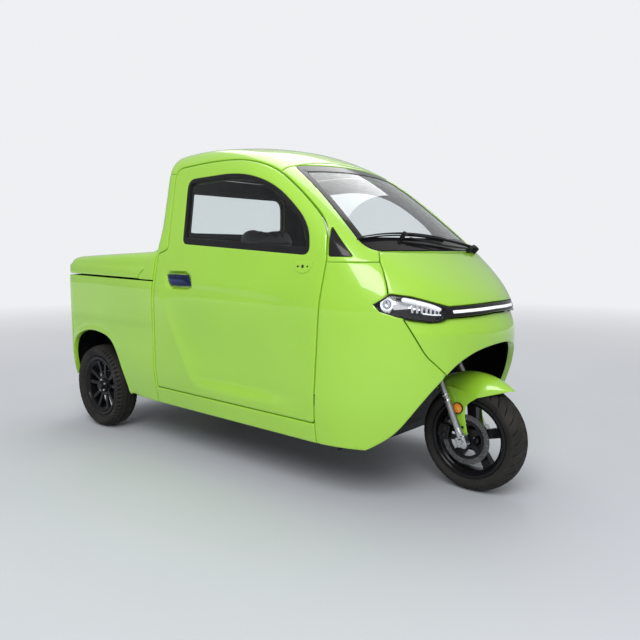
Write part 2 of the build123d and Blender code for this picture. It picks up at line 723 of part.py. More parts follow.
def above_line(margin, rear_x, front_x):
    """Block above the gap line under the lid, between two places along the car."""
    outline = (
        (front_x, lid_line(front_x, margin)), (front_x, HEIGHT), (rear_x, HEIGHT),
        (rear_x, lid_line(rear_x, margin)),
    )
    with BuildPart() as block:
        with BuildSketch(Plane.XZ.offset(-WIDTH)):
            with BuildLine():
                Polyline(*outline, close=True)
            make_face()
        extrude(amount=2 * WIDTH)
    return block.part


HINGE_X = BED_FRONT_X - STRIP_LENGTH
HINGE_Z = BED_TOP[0] - TOP_SLOPE * STRIP_LENGTH
LID_FRONT_X = HINGE_X - HALF_GAP
STRIP_REAR_X = HINGE_X + HALF_GAP
TAIL_PANEL_X = TAIL_X + TAIL_PANEL_L
LID_HINGE = Plane(origin=(HINGE_X, 0, HINGE_Z), x_dir=(1, 0, 0), z_dir=(0, 1, 0))

with BuildPart() as rear_arch:
    with BuildSketch(REAR_SIDE_VIEW.offset(-WIDTH)):
        with BuildLine():
            TangentArc(ARCH_REAR, ARCH_TOP_REAR, tangent=ARCH_REAR_LEAN)
            Line(ARCH_TOP_REAR, ARCH_TOP_FRONT)
            TangentArc(ARCH_FRONT, ARCH_TOP_FRONT, tangent=ARCH_FRONT_LEAN)
            Polyline(ARCH_FRONT, (ARCH_FRONT[0], SHADOW_Z), (ARCH_REAR[0], SHADOW_Z), ARCH_REAR)
        make_face()
    extrude(amount=2 * WIDTH)

for side, sign, keep in SIDES:
    with BuildPart() as bed_side:
        add(bed_skin.part)
        split(bisect_by=Plane.XZ, keep=keep)
        add(region((TAIL_PANEL_X + SEAM, BED_FRONT_X), Y_ALL, (0, HEIGHT)), mode=Mode.INTERSECT)
        add(above_line(-LID_GAP / 2, -LENGTH, LENGTH), mode=Mode.SUBTRACT)
        add(rear_arch.part, mode=Mode.SUBTRACT)
    save(bed_side, f"bed_side_{side}")

with BuildPart() as tail_lamp_cut:
    for sign in (-1, 1):
        y_limits = sorted((sign * (HALF - TAIL_LAMP_IN), sign * WIDTH))
        add(region((-LENGTH, TAIL_X + TAIL_LAMP_L), y_limits, TAIL_LAMP_Z))

with BuildPart() as tail_panel:
    add(bed_skin.part)
    add(region((-LENGTH, TAIL_PANEL_X), Y_ALL, (0, HEIGHT)), mode=Mode.INTERSECT)
    add(above_line(-LID_GAP / 2, -LENGTH, LENGTH), mode=Mode.SUBTRACT)
    add(rear_arch.part, mode=Mode.SUBTRACT)
    add(tail_lamp_cut.part, mode=Mode.SUBTRACT)
save(tail_panel, "tail_panel")

with BuildPart() as tail_lamps:
    add(bed_skin.part)
    add(tail_lamp_cut.part, mode=Mode.INTERSECT)
save(tail_lamps, "tail_lamps")

with BuildPart() as deck_strip:
    add(bed_skin.part)
    add(above_line(-LID_GAP / 2 + SEAM, STRIP_REAR_X, LENGTH), mode=Mode.INTERSECT)
    for sign in (-1, 1):
        axis = LID_HINGE.offset(sign * LID_HINGE_Y)
        add(barrel(axis, -KNUCKLE, KNUCKLE, CLEAR_R), mode=Mode.SUBTRACT)
        add(barrel(axis, KNUCKLE + FIT, BARREL_L, BARREL_R))
        add(barrel(axis, -BARREL_L, -KNUCKLE - FIT, BARREL_R))
        add(barrel(axis, -BARREL_L, BARREL_L, PIN_R))
save(deck_strip, "deck_strip")

with BuildPart() as lid:
    add(bed_skin.part)
    add(above_line(LID_GAP / 2, -LENGTH, LID_FRONT_X), mode=Mode.INTERSECT)
    for sign in (-1, 1):
        axis = LID_HINGE.offset(sign * LID_HINGE_Y)
        add(barrel(axis, KNUCKLE, BARREL_L + OVERCUT, CLEAR_R), mode=Mode.SUBTRACT)
        add(barrel(axis, -BARREL_L - OVERCUT, -KNUCKLE, CLEAR_R), mode=Mode.SUBTRACT)
        add(barrel(axis, -KNUCKLE, KNUCKLE, BARREL_R))
        add(barrel(axis, -BARREL_L, BARREL_L, PIN_R + RUNNING), mode=Mode.SUBTRACT)
save(lid, "lid")

with BuildPart() as bed_deck:
    add(bed_form(WALL + FIT, SHADOW_Z, BED_FRONT_X))
    add(region(X_ALL, Y_ALL, (DECK_Z, DECK_Z + DECK_T)), mode=Mode.INTERSECT)
save(bed_deck, "bed_deck")

# ================================================================ chassis
RAIL_LOW_END_X = REAR_AXLE_X + SPRING_HALF_L + HANGER_L + RAIL_RISE_L
RAIL_REAR_Z = DECK_Z - RAIL_H / 2
REAR_CROSS_X = (REAR_AXLE_X + 210, TAIL_X + 100)

with BuildPart() as frame_rails:
    for sign in (-1, 1):
        with BuildSketch(Plane.XZ.offset(-sign * RAIL_Y - RAIL_W / 2)):
            with BuildLine():
                Polyline(
                    (FRONT_BEAM_X + CROSS_W / 2, RAIL_FRONT_Z),
                    (RAIL_LOW_END_X, RAIL_FRONT_Z),
                    (RAIL_LOW_END_X - RAIL_RISE_L, RAIL_REAR_Z),
                    (TAIL_X + RAIL_END, RAIL_REAR_Z),
                )
            trace(line_width=RAIL_H)
        extrude(amount=RAIL_W)
save(frame_rails, "frame_rails")

with BuildPart() as cross_members:
    inner_width = 2 * RAIL_Y - RAIL_W - 2 * FIT
    for x in CROSS_X:
        with Locations((x, 0, RAIL_FRONT_Z)):
            Box(CROSS_W, inner_width, RAIL_H)
    for x in REAR_CROSS_X:
        with Locations((x, 0, RAIL_REAR_Z)):
            Box(CROSS_W, inner_width, RAIL_H)
save(cross_members, "cross_members")

with BuildPart() as floor_pan:
    add(liner_form)
    add(
        region((CAB_REAR_X + WALL + FIT, FRONT_BEAM_X + PAN_LAP), Y_ALL, (FLOOR_Z, FLOOR_Z + FLOOR_T)),
        mode=Mode.INTERSECT,
    )
    notch_y = DOWN_TUBE_Y + 2 * DOWN_TUBE_R
    add(region((FRONT_BEAM_X - WALL, LENGTH), (-notch_y, notch_y), (0, HEIGHT)), mode=Mode.SUBTRACT)
save(floor_pan, "floor_pan")

STEER = Plane(
    origin=(
        FRONT_AXLE_X - FORK_OFFSET * cos(radians(RAKE)), 0,
        FRONT_TYRE_R - FORK_OFFSET * sin(radians(RAKE)),
    ),
    x_dir=(cos(radians(RAKE)), 0, sin(radians(RAKE))),
    z_dir=(-sin(radians(RAKE)), 0, cos(radians(RAKE))),
)


def on_steering_axis(height):
    """Point on the steering axis at a height measured along it."""
    return STEER.from_local_coords((0, 0, height))


with BuildPart() as head_frame:
    head_low, head_high = HEAD_Z
    neck = on_steering_axis(head_high - NECK_DROP) - Vector(HEAD_TUBE_R - DOWN_TUBE_R / 2, 0, 0)
    foot_z = RAIL_FRONT_Z + RAIL_H / 2 + FIT
    for y in (-DOWN_TUBE_Y, DOWN_TUBE_Y):
        run = Vector(neck.X - FRONT_BEAM_X, -y * DOWN_TUBE_CLOSE, neck.Z - foot_z)
        with BuildSketch(Plane(origin=(FRONT_BEAM_X, y, foot_z), z_dir=run.normalized())):
            Circle(DOWN_TUBE_R)
        extrude(amount=run.length)
    add(region(X_ALL, Y_ALL, (0, foot_z)), mode=Mode.SUBTRACT)
    with BuildSketch(STEER.offset(head_low)):
        Circle(HEAD_TUBE_R)
    extrude(amount=head_high - head_low)
    with BuildSketch(STEER.offset(head_low - OVERCUT)):
        Circle(STEM_R + RUNNING)
    extrude(amount=head_high - head_low + STEM_LEAD, mode=Mode.SUBTRACT)
save(head_frame, "head_frame")

with BuildPart() as wheelhouse:
    with BuildSketch(SIDE_VIEW.offset(-WIDTH)):
        with BuildLine():
            Polyline(*LINER)
        trace(line_width=LINER_T)
    extrude(amount=2 * WIDTH)
    add(liner_form, mode=Mode.INTERSECT)
    with BuildSketch(STEER.offset(head_low)):
        Circle(HEAD_TUBE_R + FIT)
    extrude(amount=head_high - head_low, mode=Mode.SUBTRACT)
save(wheelhouse, "wheelhouse")

# ================================================================ steering
AXLE_X = FORK_OFFSET     # of the front axle in the steering plane
FORK_HALF = LEG_Y + LEG_R

with BuildPart() as fork_sliders:
    for y in (-LEG_Y, LEG_Y):
        with BuildSketch(STEER.offset(-LUG_BELOW)):
            with Locations((AXLE_X, y)):
                Circle(LEG_R)
        extrude(amount=LUG_BELOW + SLIDER_TOP)
    with BuildSketch(SIDE_VIEW.offset(-WIDTH)):
        with Locations((0, FRONT_TYRE_R)):
            Circle(FRONT_AXLE_R + RUNNING)
    extrude(amount=2 * WIDTH, mode=Mode.SUBTRACT)
    for y in (-LEG_Y, LEG_Y):
        with BuildSketch(STEER.offset(STANCHION_LOW)):
            with Locations((AXLE_X, y)):
                Circle(STANCHION_R + RUNNING)
        extrude(amount=SLIDER_TOP, mode=Mode.SUBTRACT)
    with BuildSketch(SIDE_VIEW.offset(-CALIPER_OUTER_Y + FIT)):
        bracket_x, bracket_z, bracket_length, bracket_height = BRACKET
        with Locations((bracket_x, FRONT_TYRE_R + bracket_z)):
            Rectangle(bracket_length, bracket_height)
    extrude(amount=BRACKET_T)
save(fork_sliders, "fork_sliders")

with BuildPart() as fork_yoke:
    for y in (-LEG_Y, LEG_Y):
        with BuildSketch(STEER.offset(STANCHION_LOW)):
            with Locations((AXLE_X, y)):
                Circle(STANCHION_R)
        extrude(amount=YOKE_Z + STANCHION_LAP - STANCHION_LOW)
    with BuildSketch(STEER.offset(YOKE_Z)):
        with Locations((AXLE_X / 2, 0)):
            RectangleRounded(AXLE_X + 2 * LEG_R, 2 * FORK_HALF, LEG_R)
    extrude(amount=YOKE_T)
    with BuildSketch(STEER.offset(YOKE_Z)):
        Circle(STEM_R)
    extrude(amount=BAR_Z - YOKE_Z + BAR_R)
save(fork_yoke, "fork_yoke")

with BuildPart() as handlebar:
    grip_x = -BAR_SWEEP
    with BuildLine(STEER.offset(BAR_Z + 2 * BAR_R + FIT)) as bar_path:
        FilletPolyline(
            (grip_x, -BAR_HALF), (0, -BAR_HALF / 2), (0, BAR_HALF / 2), (grip_x, BAR_HALF),
            radius=BAR_BEND_R,
        )
    with BuildSketch(Plane(origin=bar_path.line @ 0, z_dir=bar_path.line % 0)):
        Circle(BAR_R)
    sweep()
save(handlebar, "handlebar")


def wheel_section(x, y, radius):
    """Plane through a wheel's centre: local x along the axle, local y away from it."""
    return Plane(origin=(x, y, radius), x_dir=(0, 1, 0), z_dir=(1, 0, 0))


def axle_line(x, radius):
    """Axis of a wheel."""
    return Axis((x, 0, radius), (0, 1, 0))


with BuildPart() as front_fender:
    edge_r = FENDER_R - FENDER_CROWN
    start = radians(FENDER_SPAN[0])
    fender_plane = Plane(
        origin=(FRONT_AXLE_X, 0, FRONT_TYRE_R), x_dir=(0, 1, 0), z_dir=(sin(start), 0, -cos(start))
    )
    with BuildSketch(fender_plane):
        with BuildLine():
            ThreePointArc((-FENDER_HALF, edge_r), (0, FENDER_R - FENDER_T / 2), (FENDER_HALF, edge_r))
        trace(line_width=FENDER_T)
    revolve(axis=axle_line(FRONT_AXLE_X, FRONT_TYRE_R), revolution_arc=FENDER_SPAN[0] - FENDER_SPAN[1])
    stay_rear, stay_front, stay_top = STAY_TOP
    foot_rear, foot_front = STAY_FOOT
    for sign in (-1, 1):
        with BuildSketch(SIDE_VIEW.offset(-sign * (FENDER_HALF + STAY_OUT) - FENDER_T / 2)):
            with BuildLine():
                Polyline(
                    (stay_rear, stay_top), (stay_front, stay_top), (foot_front, FRONT_TYRE_R),
                    (foot_rear, FRONT_TYRE_R), close=True,
                )
            make_face()
        extrude(amount=FENDER_T)
    with BuildSketch(SIDE_VIEW.offset(-WIDTH)):
        with Locations((0, FRONT_TYRE_R)):
            Circle(FRONT_AXLE_R + AXLE_CLEAR)
    extrude(amount=2 * WIDTH, mode=Mode.SUBTRACT)
save(front_fender, "front_fender")

with BuildPart() as front_axle:
    axle_plane = SIDE_VIEW.offset(-FORK_HALF - NUT_T)
    with BuildSketch(axle_plane):
        with Locations((0, FRONT_TYRE_R)):
            Circle(FRONT_AXLE_R)
    extrude(amount=2 * (FORK_HALF + NUT_T))
    for start in (-FORK_HALF - NUT_T, FORK_HALF + FIT):
        with BuildSketch(SIDE_VIEW.offset(start)):
            with Locations((0, FRONT_TYRE_R)):
                RegularPolygon(NUT_R, 6)
        extrude(amount=NUT_T - FIT)
save(front_axle, "front_axle")

with BuildPart() as brake_caliper:
    with BuildSketch(SIDE_VIEW.offset(-DISC_Y - CALIPER_INNER)):
        with Locations((0, FRONT_TYRE_R)):
            with PolarLocations(CALIPER_R, 1, start_angle=CALIPER_TURN):
                Rectangle(CALIPER[1], CALIPER[0])
    extrude(amount=DISC_Y + CALIPER_INNER - CALIPER_OUTER_Y)
    with BuildSketch(SIDE_VIEW.offset(-DISC_Y - CALIPER_GAP)):
        with Locations((0, FRONT_TYRE_R)):
            Circle(DISC_R + CALIPER_GAP)
    extrude(amount=2 * CALIPER_GAP, mode=Mode.SUBTRACT)
save(brake_caliper, "brake_caliper")


# ================================================================ wheels
def tyre_outline(radius, width, shoulder):
    """Half of a tyre's section: from its bead out to the middle of its tread."""
    half = width / 2
    return (
        (-42, BEAD_R), (-44, FLANGE_R + 4), (-half + 2, radius - shoulder - 18),
        (-half, radius - shoulder), (-half * 0.72, radius - shoulder * 0.32), (-half * 0.36, radius - 1),
        (0, radius),
    )


RIM = (
    (-50, FLANGE_R), (-45, FLANGE_R), (-43, BEAD_R - FIT), (-30, BEAD_R - FIT), (-22, 152), (22, 152),
    (30, BEAD_R - FIT), (43, BEAD_R - FIT), (45, FLANGE_R), (50, FLANGE_R), (50, 158), (32, 154),
    (24, 144), (-24, 144), (-32, 154), (-50, 158),
)

for name, x, y, radius, width, shoulder in (
    ("front", FRONT_AXLE_X, 0, FRONT_TYRE_R, FRONT_TYRE_W, FRONT_SHOULDER),
    ("rear_right", REAR_AXLE_X, -REAR_WHEEL_Y, REAR_TYRE_R, REAR_TYRE_W, REAR_SHOULDER),
    ("rear_left", REAR_AXLE_X, REAR_WHEEL_Y, REAR_TYRE_R, REAR_TYRE_W, REAR_SHOULDER),
):
    with BuildPart() as tyre:
        half_outline = tyre_outline(radius, width, shoulder)
        mirrored = [(-across, out) for across, out in reversed(half_outline[:-1])]
        with BuildSketch(wheel_section(x, y, radius)):
            with BuildLine():
                Polyline(*half_outline, *mirrored, close=True)
            make_face()
        revolve(axis=axle_line(x, radius))
    save(tyre, f"tyre_{name}")

spoke_length, spoke_width, spoke_depth = SPOKE
with BuildPart() as front_rim:
    with BuildSketch(wheel_section(FRONT_AXLE_X, 0, FRONT_TYRE_R)):
        with BuildLine():
            Polyline(*RIM, close=True)
        make_face()
    revolve(axis=axle_line(FRONT_AXLE_X, FRONT_TYRE_R))
    with BuildSketch(SIDE_VIEW.offset(-spoke_depth / 2)):
        with Locations((0, FRONT_TYRE_R)):
            with PolarLocations(SPOKE_R, SPOKES, start_angle=SPOKE_START):
                Rectangle(spoke_length, spoke_width)
    extrude(amount=spoke_depth)
    with BuildSketch(SIDE_VIEW.offset(-HUB_HALF)):
        with Locations((0, FRONT_TYRE_R)):
            Circle(HUB_R)
    extrude(amount=HUB_HALF - DISC_Y - DISC_T / 2)
    with BuildSketch(SIDE_VIEW.offset(-WIDTH)):
        with Locations((0, FRONT_TYRE_R)):
            Circle(FRONT_AXLE_R + RUNNING)
    extrude(amount=2 * WIDTH, mode=Mode.SUBTRACT)
save(front_rim, "front_rim")

with BuildPart() as brake_disc:
    with BuildSketch(SIDE_VIEW.offset(-DISC_Y - DISC_T / 2)):
        with Locations((0, FRONT_TYRE_R)):
            Circle(DISC_R)
            Circle(FRONT_AXLE_R + AXLE_CLEAR, mode=Mode.SUBTRACT)
    extrude(amount=DISC_T)
save(brake_disc, "brake_disc")

spoke_length, spoke_width, spoke_depth = REAR_SPOKE
hub_start, hub_end = REAR_HUB_SPAN
for side, sign, keep in SIDES:
    y = sign * REAR_WHEEL_Y
    disc_plane = Plane(origin=(REAR_AXLE_X, y, REAR_TYRE_R), x_dir=(1, 0, 0), z_dir=(0, sign, 0))
    with BuildPart() as rear_rim:
        with BuildSketch(wheel_section(REAR_AXLE_X, y, REAR_TYRE_R)):
            with BuildLine():
                Polyline(*RIM, close=True)
            make_face()
        revolve(axis=axle_line(REAR_AXLE_X, REAR_TYRE_R))
        with BuildSketch(disc_plane.offset(REAR_SPOKE_IN)):
            with PolarLocations(REAR_SPOKE_R, REAR_SPOKES):
                Rectangle(spoke_length, spoke_width)
            Circle(REAR_BOSS_R)
        extrude(amount=spoke_depth)
        with BuildSketch(disc_plane.offset(hub_start)):
            Circle(REAR_HUB_R)
        extrude(amount=hub_end - hub_start)
        with BuildSketch(disc_plane.offset(-REAR_TYRE_W)):
            Circle(STUB_R + RUNNING)
        extrude(amount=2 * REAR_TYRE_W, mode=Mode.SUBTRACT)
    save(rear_rim, f"rim_rear_{side}")

with BuildPart() as rear_axle:
    across = Plane(origin=(REAR_AXLE_X, 0, REAR_TYRE_R), x_dir=(1, 0, 0), z_dir=(0, 1, 0))
    drum_inner, drum_outer = (REAR_WHEEL_Y - reach for reach in DRUM_REACH)
    for radius, reach in (
        (AXLE_TUBE_R, drum_outer), (MOTOR_R, MOTOR_HALF), (STUB_R, REAR_WHEEL_Y + STUB_REACH),
    ):
        with BuildSketch(across.offset(-reach)):
            Circle(radius)
        extrude(amount=2 * reach)
    for start in (-drum_outer, drum_inner):
        with BuildSketch(across.offset(start)):
            Circle(DRUM_R)
        extrude(amount=drum_outer - drum_inner)
    nut_y = REAR_WHEEL_Y + AXLE_NUT_AT
    for start in (-nut_y - AXLE_NUT_T, nut_y):
        with BuildSketch(across.offset(start)):
            RegularPolygon(AXLE_NUT_R, 6)
        extrude(amount=AXLE_NUT_T)
    for y in (-SPRING_Y, SPRING_Y):
        with Locations((REAR_AXLE_X, y, REAR_TYRE_R + AXLE_TUBE_R / 2 + PAD_LAP)):
            Box(SPRING_PAD_L, SPRING_W, AXLE_TUBE_R + 2 * PAD_LAP)
save(rear_axle, "rear_axle")

SPRING_LOW_Z = REAR_TYRE_R + AXLE_TUBE_R + 2 * PAD_LAP + SPRING_T / 2 + FIT
with BuildPart() as leaf_springs:
    for sign in (-1, 1):
        with BuildSketch(REAR_SIDE_VIEW.offset(-sign * SPRING_Y - SPRING_W / 2)):
            with BuildLine():
                ThreePointArc(
                    (-SPRING_HALF_L, SPRING_LOW_Z + SPRING_RISE), (0, SPRING_LOW_Z),
                    (SPRING_HALF_L, SPRING_LOW_Z + SPRING_RISE),
                )
            trace(line_width=SPRING_T)
            for end in (-1, 1):
                hanger_low = SPRING_LOW_Z + SPRING_RISE - SPRING_T
                hanger_high = RAIL_REAR_Z - RAIL_H / 2 - FIT
                with Locations((end * SPRING_HALF_L, (hanger_low + hanger_high) / 2)):
                    Rectangle(HANGER_L, hanger_high - hanger_low)
        extrude(amount=SPRING_W)
save(leaf_springs, "leaf_springs")

with BuildPart() as rear_bumper:
    drop_top = RAIL_REAR_Z - RAIL_H / 2 - FIT
    drop_x = TAIL_X + BUMPER_IN
    plate_length, plate_width, plate_corner = TOW_PLATE
    plate_z = BUMPER_Z - BUMPER_H / 2 - TOW_PLATE_T
    for y in (-RAIL_Y, RAIL_Y):
        with Locations((drop_x, y, (drop_top + BUMPER_Z) / 2)):
            Box(BUMPER_T, DROP_W, drop_top - BUMPER_Z)
    with Locations((drop_x, 0, BUMPER_Z)):
        Box(BUMPER_T, WIDTH - 2 * BUMPER_SHORT, BUMPER_H)
    with BuildSketch(Plane.XY.offset(plate_z)):
        with Locations((drop_x, 0)):
            RectangleRounded(plate_length, plate_width, plate_corner)
    extrude(amount=TOW_PLATE_T)
    with BuildSketch(Plane.XY.offset(plate_z - OVERCUT)):
        with Locations((drop_x - TOW_HOLE_BACK, 0)):
            Circle(TOW_HOLE_R)
    extrude(amount=TOW_PLATE_T + OVERCUT, mode=Mode.SUBTRACT)
save(rear_bumper, "rear_bumper")

# ================================================================ cabin
floor_top = FLOOR_Z + FLOOR_T

with BuildPart() as battery_box:
    with Locations((SEAT_X, 0, (floor_top + FIT + SEAT_Z) / 2)):
        Box(SEAT_L - BOX_IN[0], SEAT_W - BOX_IN[1], SEAT_Z - floor_top - FIT)
save(battery_box, "battery_box")

with BuildPart() as seat_cushion:
    with Locations((SEAT_X + CUSHION_AHEAD, 0, SEAT_Z + SEAT_GAP + CUSHION_T / 2)):
        Box(SEAT_L, SEAT_W, CUSHION_T)
    fillet(seat_cushion.edges().filter_by(Axis.Z), CUSHION_R[0])
    fillet(seat_cushion.faces().sort_by(Axis.Z)[-1].edges(), CUSHION_R[1])
save(seat_cushion, "seat_cushion")

with BuildPart() as seat_back:
    with BuildSketch(Plane.XZ.offset(BACK_IN / 2 - SEAT_W / 2)) as back_side:
        with BuildLine():
            Polyline(
                *[(SEAT_X + x, SEAT_Z + CUSHION_T + 2 * SEAT_GAP + z) for x, z in BACK], close=True
            )
        make_face()
    extrude(amount=SEAT_W - BACK_IN)
save(seat_back, "seat_back")

with BuildPart() as dashboard:
    add(liner_form)
    add(side_prism(DASH), mode=Mode.INTERSECT)
save(dashboard, "dashboard")
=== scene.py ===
"""Looks of an enclosed three-wheeled pickup, built around its packed construction.

The car points along +X, its left is +Y and +Z is up. Every length is in metres. Painted
panels are cut from one smooth body form, so that they meet along real seams, and every
panel is a closed shell with rolled edges. Lamps, glass, wheels, steering and cabin
follow as classes of their own.
"""
from __future__ import annotations

import json
import logging
import math
from dataclasses import dataclass, field
from enum import Enum
from typing import Callable, Sequence

import bmesh
import bpy
import numpy as np
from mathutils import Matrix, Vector, geometry

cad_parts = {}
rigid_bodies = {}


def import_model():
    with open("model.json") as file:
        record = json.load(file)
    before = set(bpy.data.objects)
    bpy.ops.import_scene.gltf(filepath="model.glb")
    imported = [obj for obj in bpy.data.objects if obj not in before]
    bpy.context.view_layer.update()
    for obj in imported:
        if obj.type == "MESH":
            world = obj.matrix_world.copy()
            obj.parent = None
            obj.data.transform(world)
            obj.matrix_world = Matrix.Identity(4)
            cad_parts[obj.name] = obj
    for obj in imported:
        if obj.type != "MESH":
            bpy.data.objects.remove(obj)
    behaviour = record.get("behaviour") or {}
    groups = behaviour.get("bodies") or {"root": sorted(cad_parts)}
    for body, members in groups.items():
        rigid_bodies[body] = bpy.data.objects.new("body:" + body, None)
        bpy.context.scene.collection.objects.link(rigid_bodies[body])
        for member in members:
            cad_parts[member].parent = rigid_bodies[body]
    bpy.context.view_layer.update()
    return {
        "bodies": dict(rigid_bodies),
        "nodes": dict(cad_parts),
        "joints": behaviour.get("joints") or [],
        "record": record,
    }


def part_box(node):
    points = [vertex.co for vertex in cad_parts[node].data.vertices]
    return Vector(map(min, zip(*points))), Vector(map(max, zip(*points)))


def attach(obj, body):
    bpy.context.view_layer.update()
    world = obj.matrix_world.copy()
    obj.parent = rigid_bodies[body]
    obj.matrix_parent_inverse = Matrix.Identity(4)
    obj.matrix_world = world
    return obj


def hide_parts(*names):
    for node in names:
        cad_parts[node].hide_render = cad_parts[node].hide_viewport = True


LOG = logging.getLogger("pickup")
Points = np.ndarray
Faces = list
Surface = tuple[Points, Faces]
Piece = bpy.types.Object
Socket = bpy.types.NodeSocket

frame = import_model()


def box_middle(node: str) -> Points:
    """Middle of a construction node's box."""
    low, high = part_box(node)
    return (np.array(low) + np.array(high)) / 2


AXLE_X, _, AXLE_Z = box_middle("tyre_front")
REAR_AXLE_X = box_middle("tyre_rear_right")[0]
CAB_REAR_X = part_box("cab_rear")[0].x
TAIL_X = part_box("tail_panel")[0].x
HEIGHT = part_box("roof")[1].z
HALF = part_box("bed_side_left")[1].y
SIDES = (("right", -1), ("left", 1))

# ---------------------------------------------------------------- edges and fits
EDGE_ROLL = 0.0045      # radius of a rolled panel edge
PANEL_FOOT = 0.246      # lower edge of wings, sills and bed sides
SEAM = 0.0016           # half of a joint between fixed panels
SHUT = 0.0028           # half of the gap round a door or lid
PANEL_T = 0.026         # thickness of a painted panel
GRID = 0.016            # distance between points on a panel
BOW = 0.010             # longest step along an outline


class Finish(Enum):
    """Names of the material slots in the record."""

    PAINT = "body_green"
    GLASS = "glass"
    PLASTIC = "black_plastic"
    GLOSS = "black_gloss"
    FORK = "fork_silver"
    STEEL = "steel"
    TYRE = "tyre_rubber"
    RIM = "rim_black"
    COVER = "lamp_clear"
    LIGHT = "lamp_white"
    RED = "lamp_red"
    CHROME = "chrome"
    VINYL = "seat_vinyl"
    RUBBER = "rubber"


# ================================================================ small vector helpers
def unit(v: Points) -> Points:
    """Vectors scaled to length one."""
    v = np.asarray(v, float)
    return v / np.maximum(np.linalg.norm(v, axis=-1, keepdims=True), 1e-12)


def smax(a: Points, b: Points, k: float) -> Points:
    """Smooth maximum: the larger value, plus a parabola of width k where they are close."""
    near = np.maximum(k - np.abs(a - b), 0) / k
    return np.maximum(a, b) + near * near * k / 4


def step(value: Points, low: float, high: float) -> Points:
    """Smooth step from 0 at low to 1 at high, which may be the smaller number."""
    t = np.clip((value - low) / (high - low), 0, 1)
    return t * t * (3 - 2 * t)


def stretch(points: Sequence, longest: float = BOW, closed: bool = False) -> Points:
    """Points along straight runs, none longer than a given step.

    Args:
        points: corners of the line, in two or three dimensions.
        longest: longest step allowed.
        closed: whether the line returns to its first point.

    Returns:
        The corners with evenly spaced points between them.
    """
    corners = np.asarray(points, float)
    ends = np.roll(corners, -1, 0) if closed else corners[1:]
    starts = corners if closed else corners[:-1]
    counts = np.maximum(np.ceil(np.linalg.norm(ends - starts, axis=1) / longest), 1).astype(int)
    runs = [a + (b - a) * (np.arange(n) / n)[:, None] for a, b, n in zip(starts, ends, counts)]
    return np.vstack(runs if closed else [*runs, corners[-1:]])


def rounded(points: Sequence, radius: float | Sequence, steps: int = 7) -> Points:
    """Closed outline whose corners are quadratic curves that leave each side at their radius.

    Args:
        points: corners of the outline.
        radius: distance from a corner at which its curve begins, one or one each.
        steps: points on each curve.

    Returns:
        The outline with curved corners.
    """
    p = np.asarray(points, float)
    before, after = np.roll(p, 1, 0), np.roll(p, -1, 0)
    cut_in = np.minimum(radius, 0.45 * np.linalg.norm(p - before, axis=1))[:, None]
    cut_out = np.minimum(radius, 0.45 * np.linalg.norm(after - p, axis=1))[:, None]
    a, c = p + unit(before - p) * cut_in, p + unit(after - p) * cut_out
    t = np.linspace(0, 1, steps)[None, :, None]
    curve = a[:, None] * (1 - t) ** 2 + 2 * p[:, None] * t * (1 - t) + c[:, None] * t * t
    return curve.reshape(-1, p.shape[1])


def grown(points: Points, margin: float) -> Points:
    """Closed flat outline moved outward by a margin, each point along its mean normal.

    Args:
        points: closed flat outline.
        margin: distance outward, negative for inward.

    Returns:
        The moved outline.
    """
    p = np.asarray(points, float)
    turn = np.sign(signed_area(p)) * margin
    along = unit(np.roll(p, -1, 0) - p)
    normal = np.stack([along[:, 1], -along[:, 0]], 1)
    mean = normal + np.roll(normal, 1, 0)
    return p + turn * 2 * mean / np.maximum((mean * mean).sum(1, keepdims=True), 0.3)


def circle(radius: float, steps: int, centre: Sequence = (0.0, 0.0)) -> Points:
    """Round flat outline."""
    a = np.linspace(0, 2 * np.pi, steps, endpoint=False)
    return np.stack([radius * np.cos(a), radius * np.sin(a)], 1) + centre


def signed_area(p: Points) -> float:
    """Area inside a flat outline, positive when it runs counter-clockwise."""
    q = np.roll(p, -1, 0)
    return float((p[:, 0] * q[:, 1] - q[:, 0] * p[:, 1]).sum() / 2)


def inside(points: Points, loops: Sequence) -> Points:
    """Whether flat points lie inside an odd number of loops (crossings of a ray along +x).

    Args:
        points: flat points to test.
        loops: closed outlines.

    Returns:
        A mask, one value for each point.
    """
    odd = np.zeros(len(points), bool)
    for loop in loops:
        a, b = loop, np.roll(loop, -1, 0)
        for start in range(0, len(points), 4000):
            p = points[start:start + 4000]
            spans = (a[None, :, 1] > p[:, None, 1]) != (b[None, :, 1] > p[:, None, 1])
            rise = np.where(b[:, 1] == a[:, 1], 1e-12, b[:, 1] - a[:, 1])
            cross = a[:, 0] + (p[:, None, 1] - a[:, 1]) * (b[:, 0] - a[:, 0]) / rise
            odd[start:start + 4000] ^= ((spans & (p[:, None, 0] < cross)).sum(1) % 2).astype(bool)
    return odd


def gap_to(points: Points, loops: Sequence) -> Points:
    """Least distance from each point to the segments of some closed loops.

    Args:
        points: points to measure from.
        loops: closed outlines.

    Returns:
        The least distance of each point.
    """
    a = np.vstack(loops)
    b = np.vstack([np.roll(loop, -1, 0) for loop in loops])
    ab = b - a
    size = np.maximum((ab * ab).sum(1), 1e-18)
    least = np.empty(len(points))
    for start in range(0, len(points), 700):
        p = points[start:start + 700, None, :]
        t = np.clip(((p - a) * ab).sum(2) / size, 0, 1)
        least[start:start + 700] = np.linalg.norm(p - a - ab * t[..., None], axis=2).min(1)
    return least


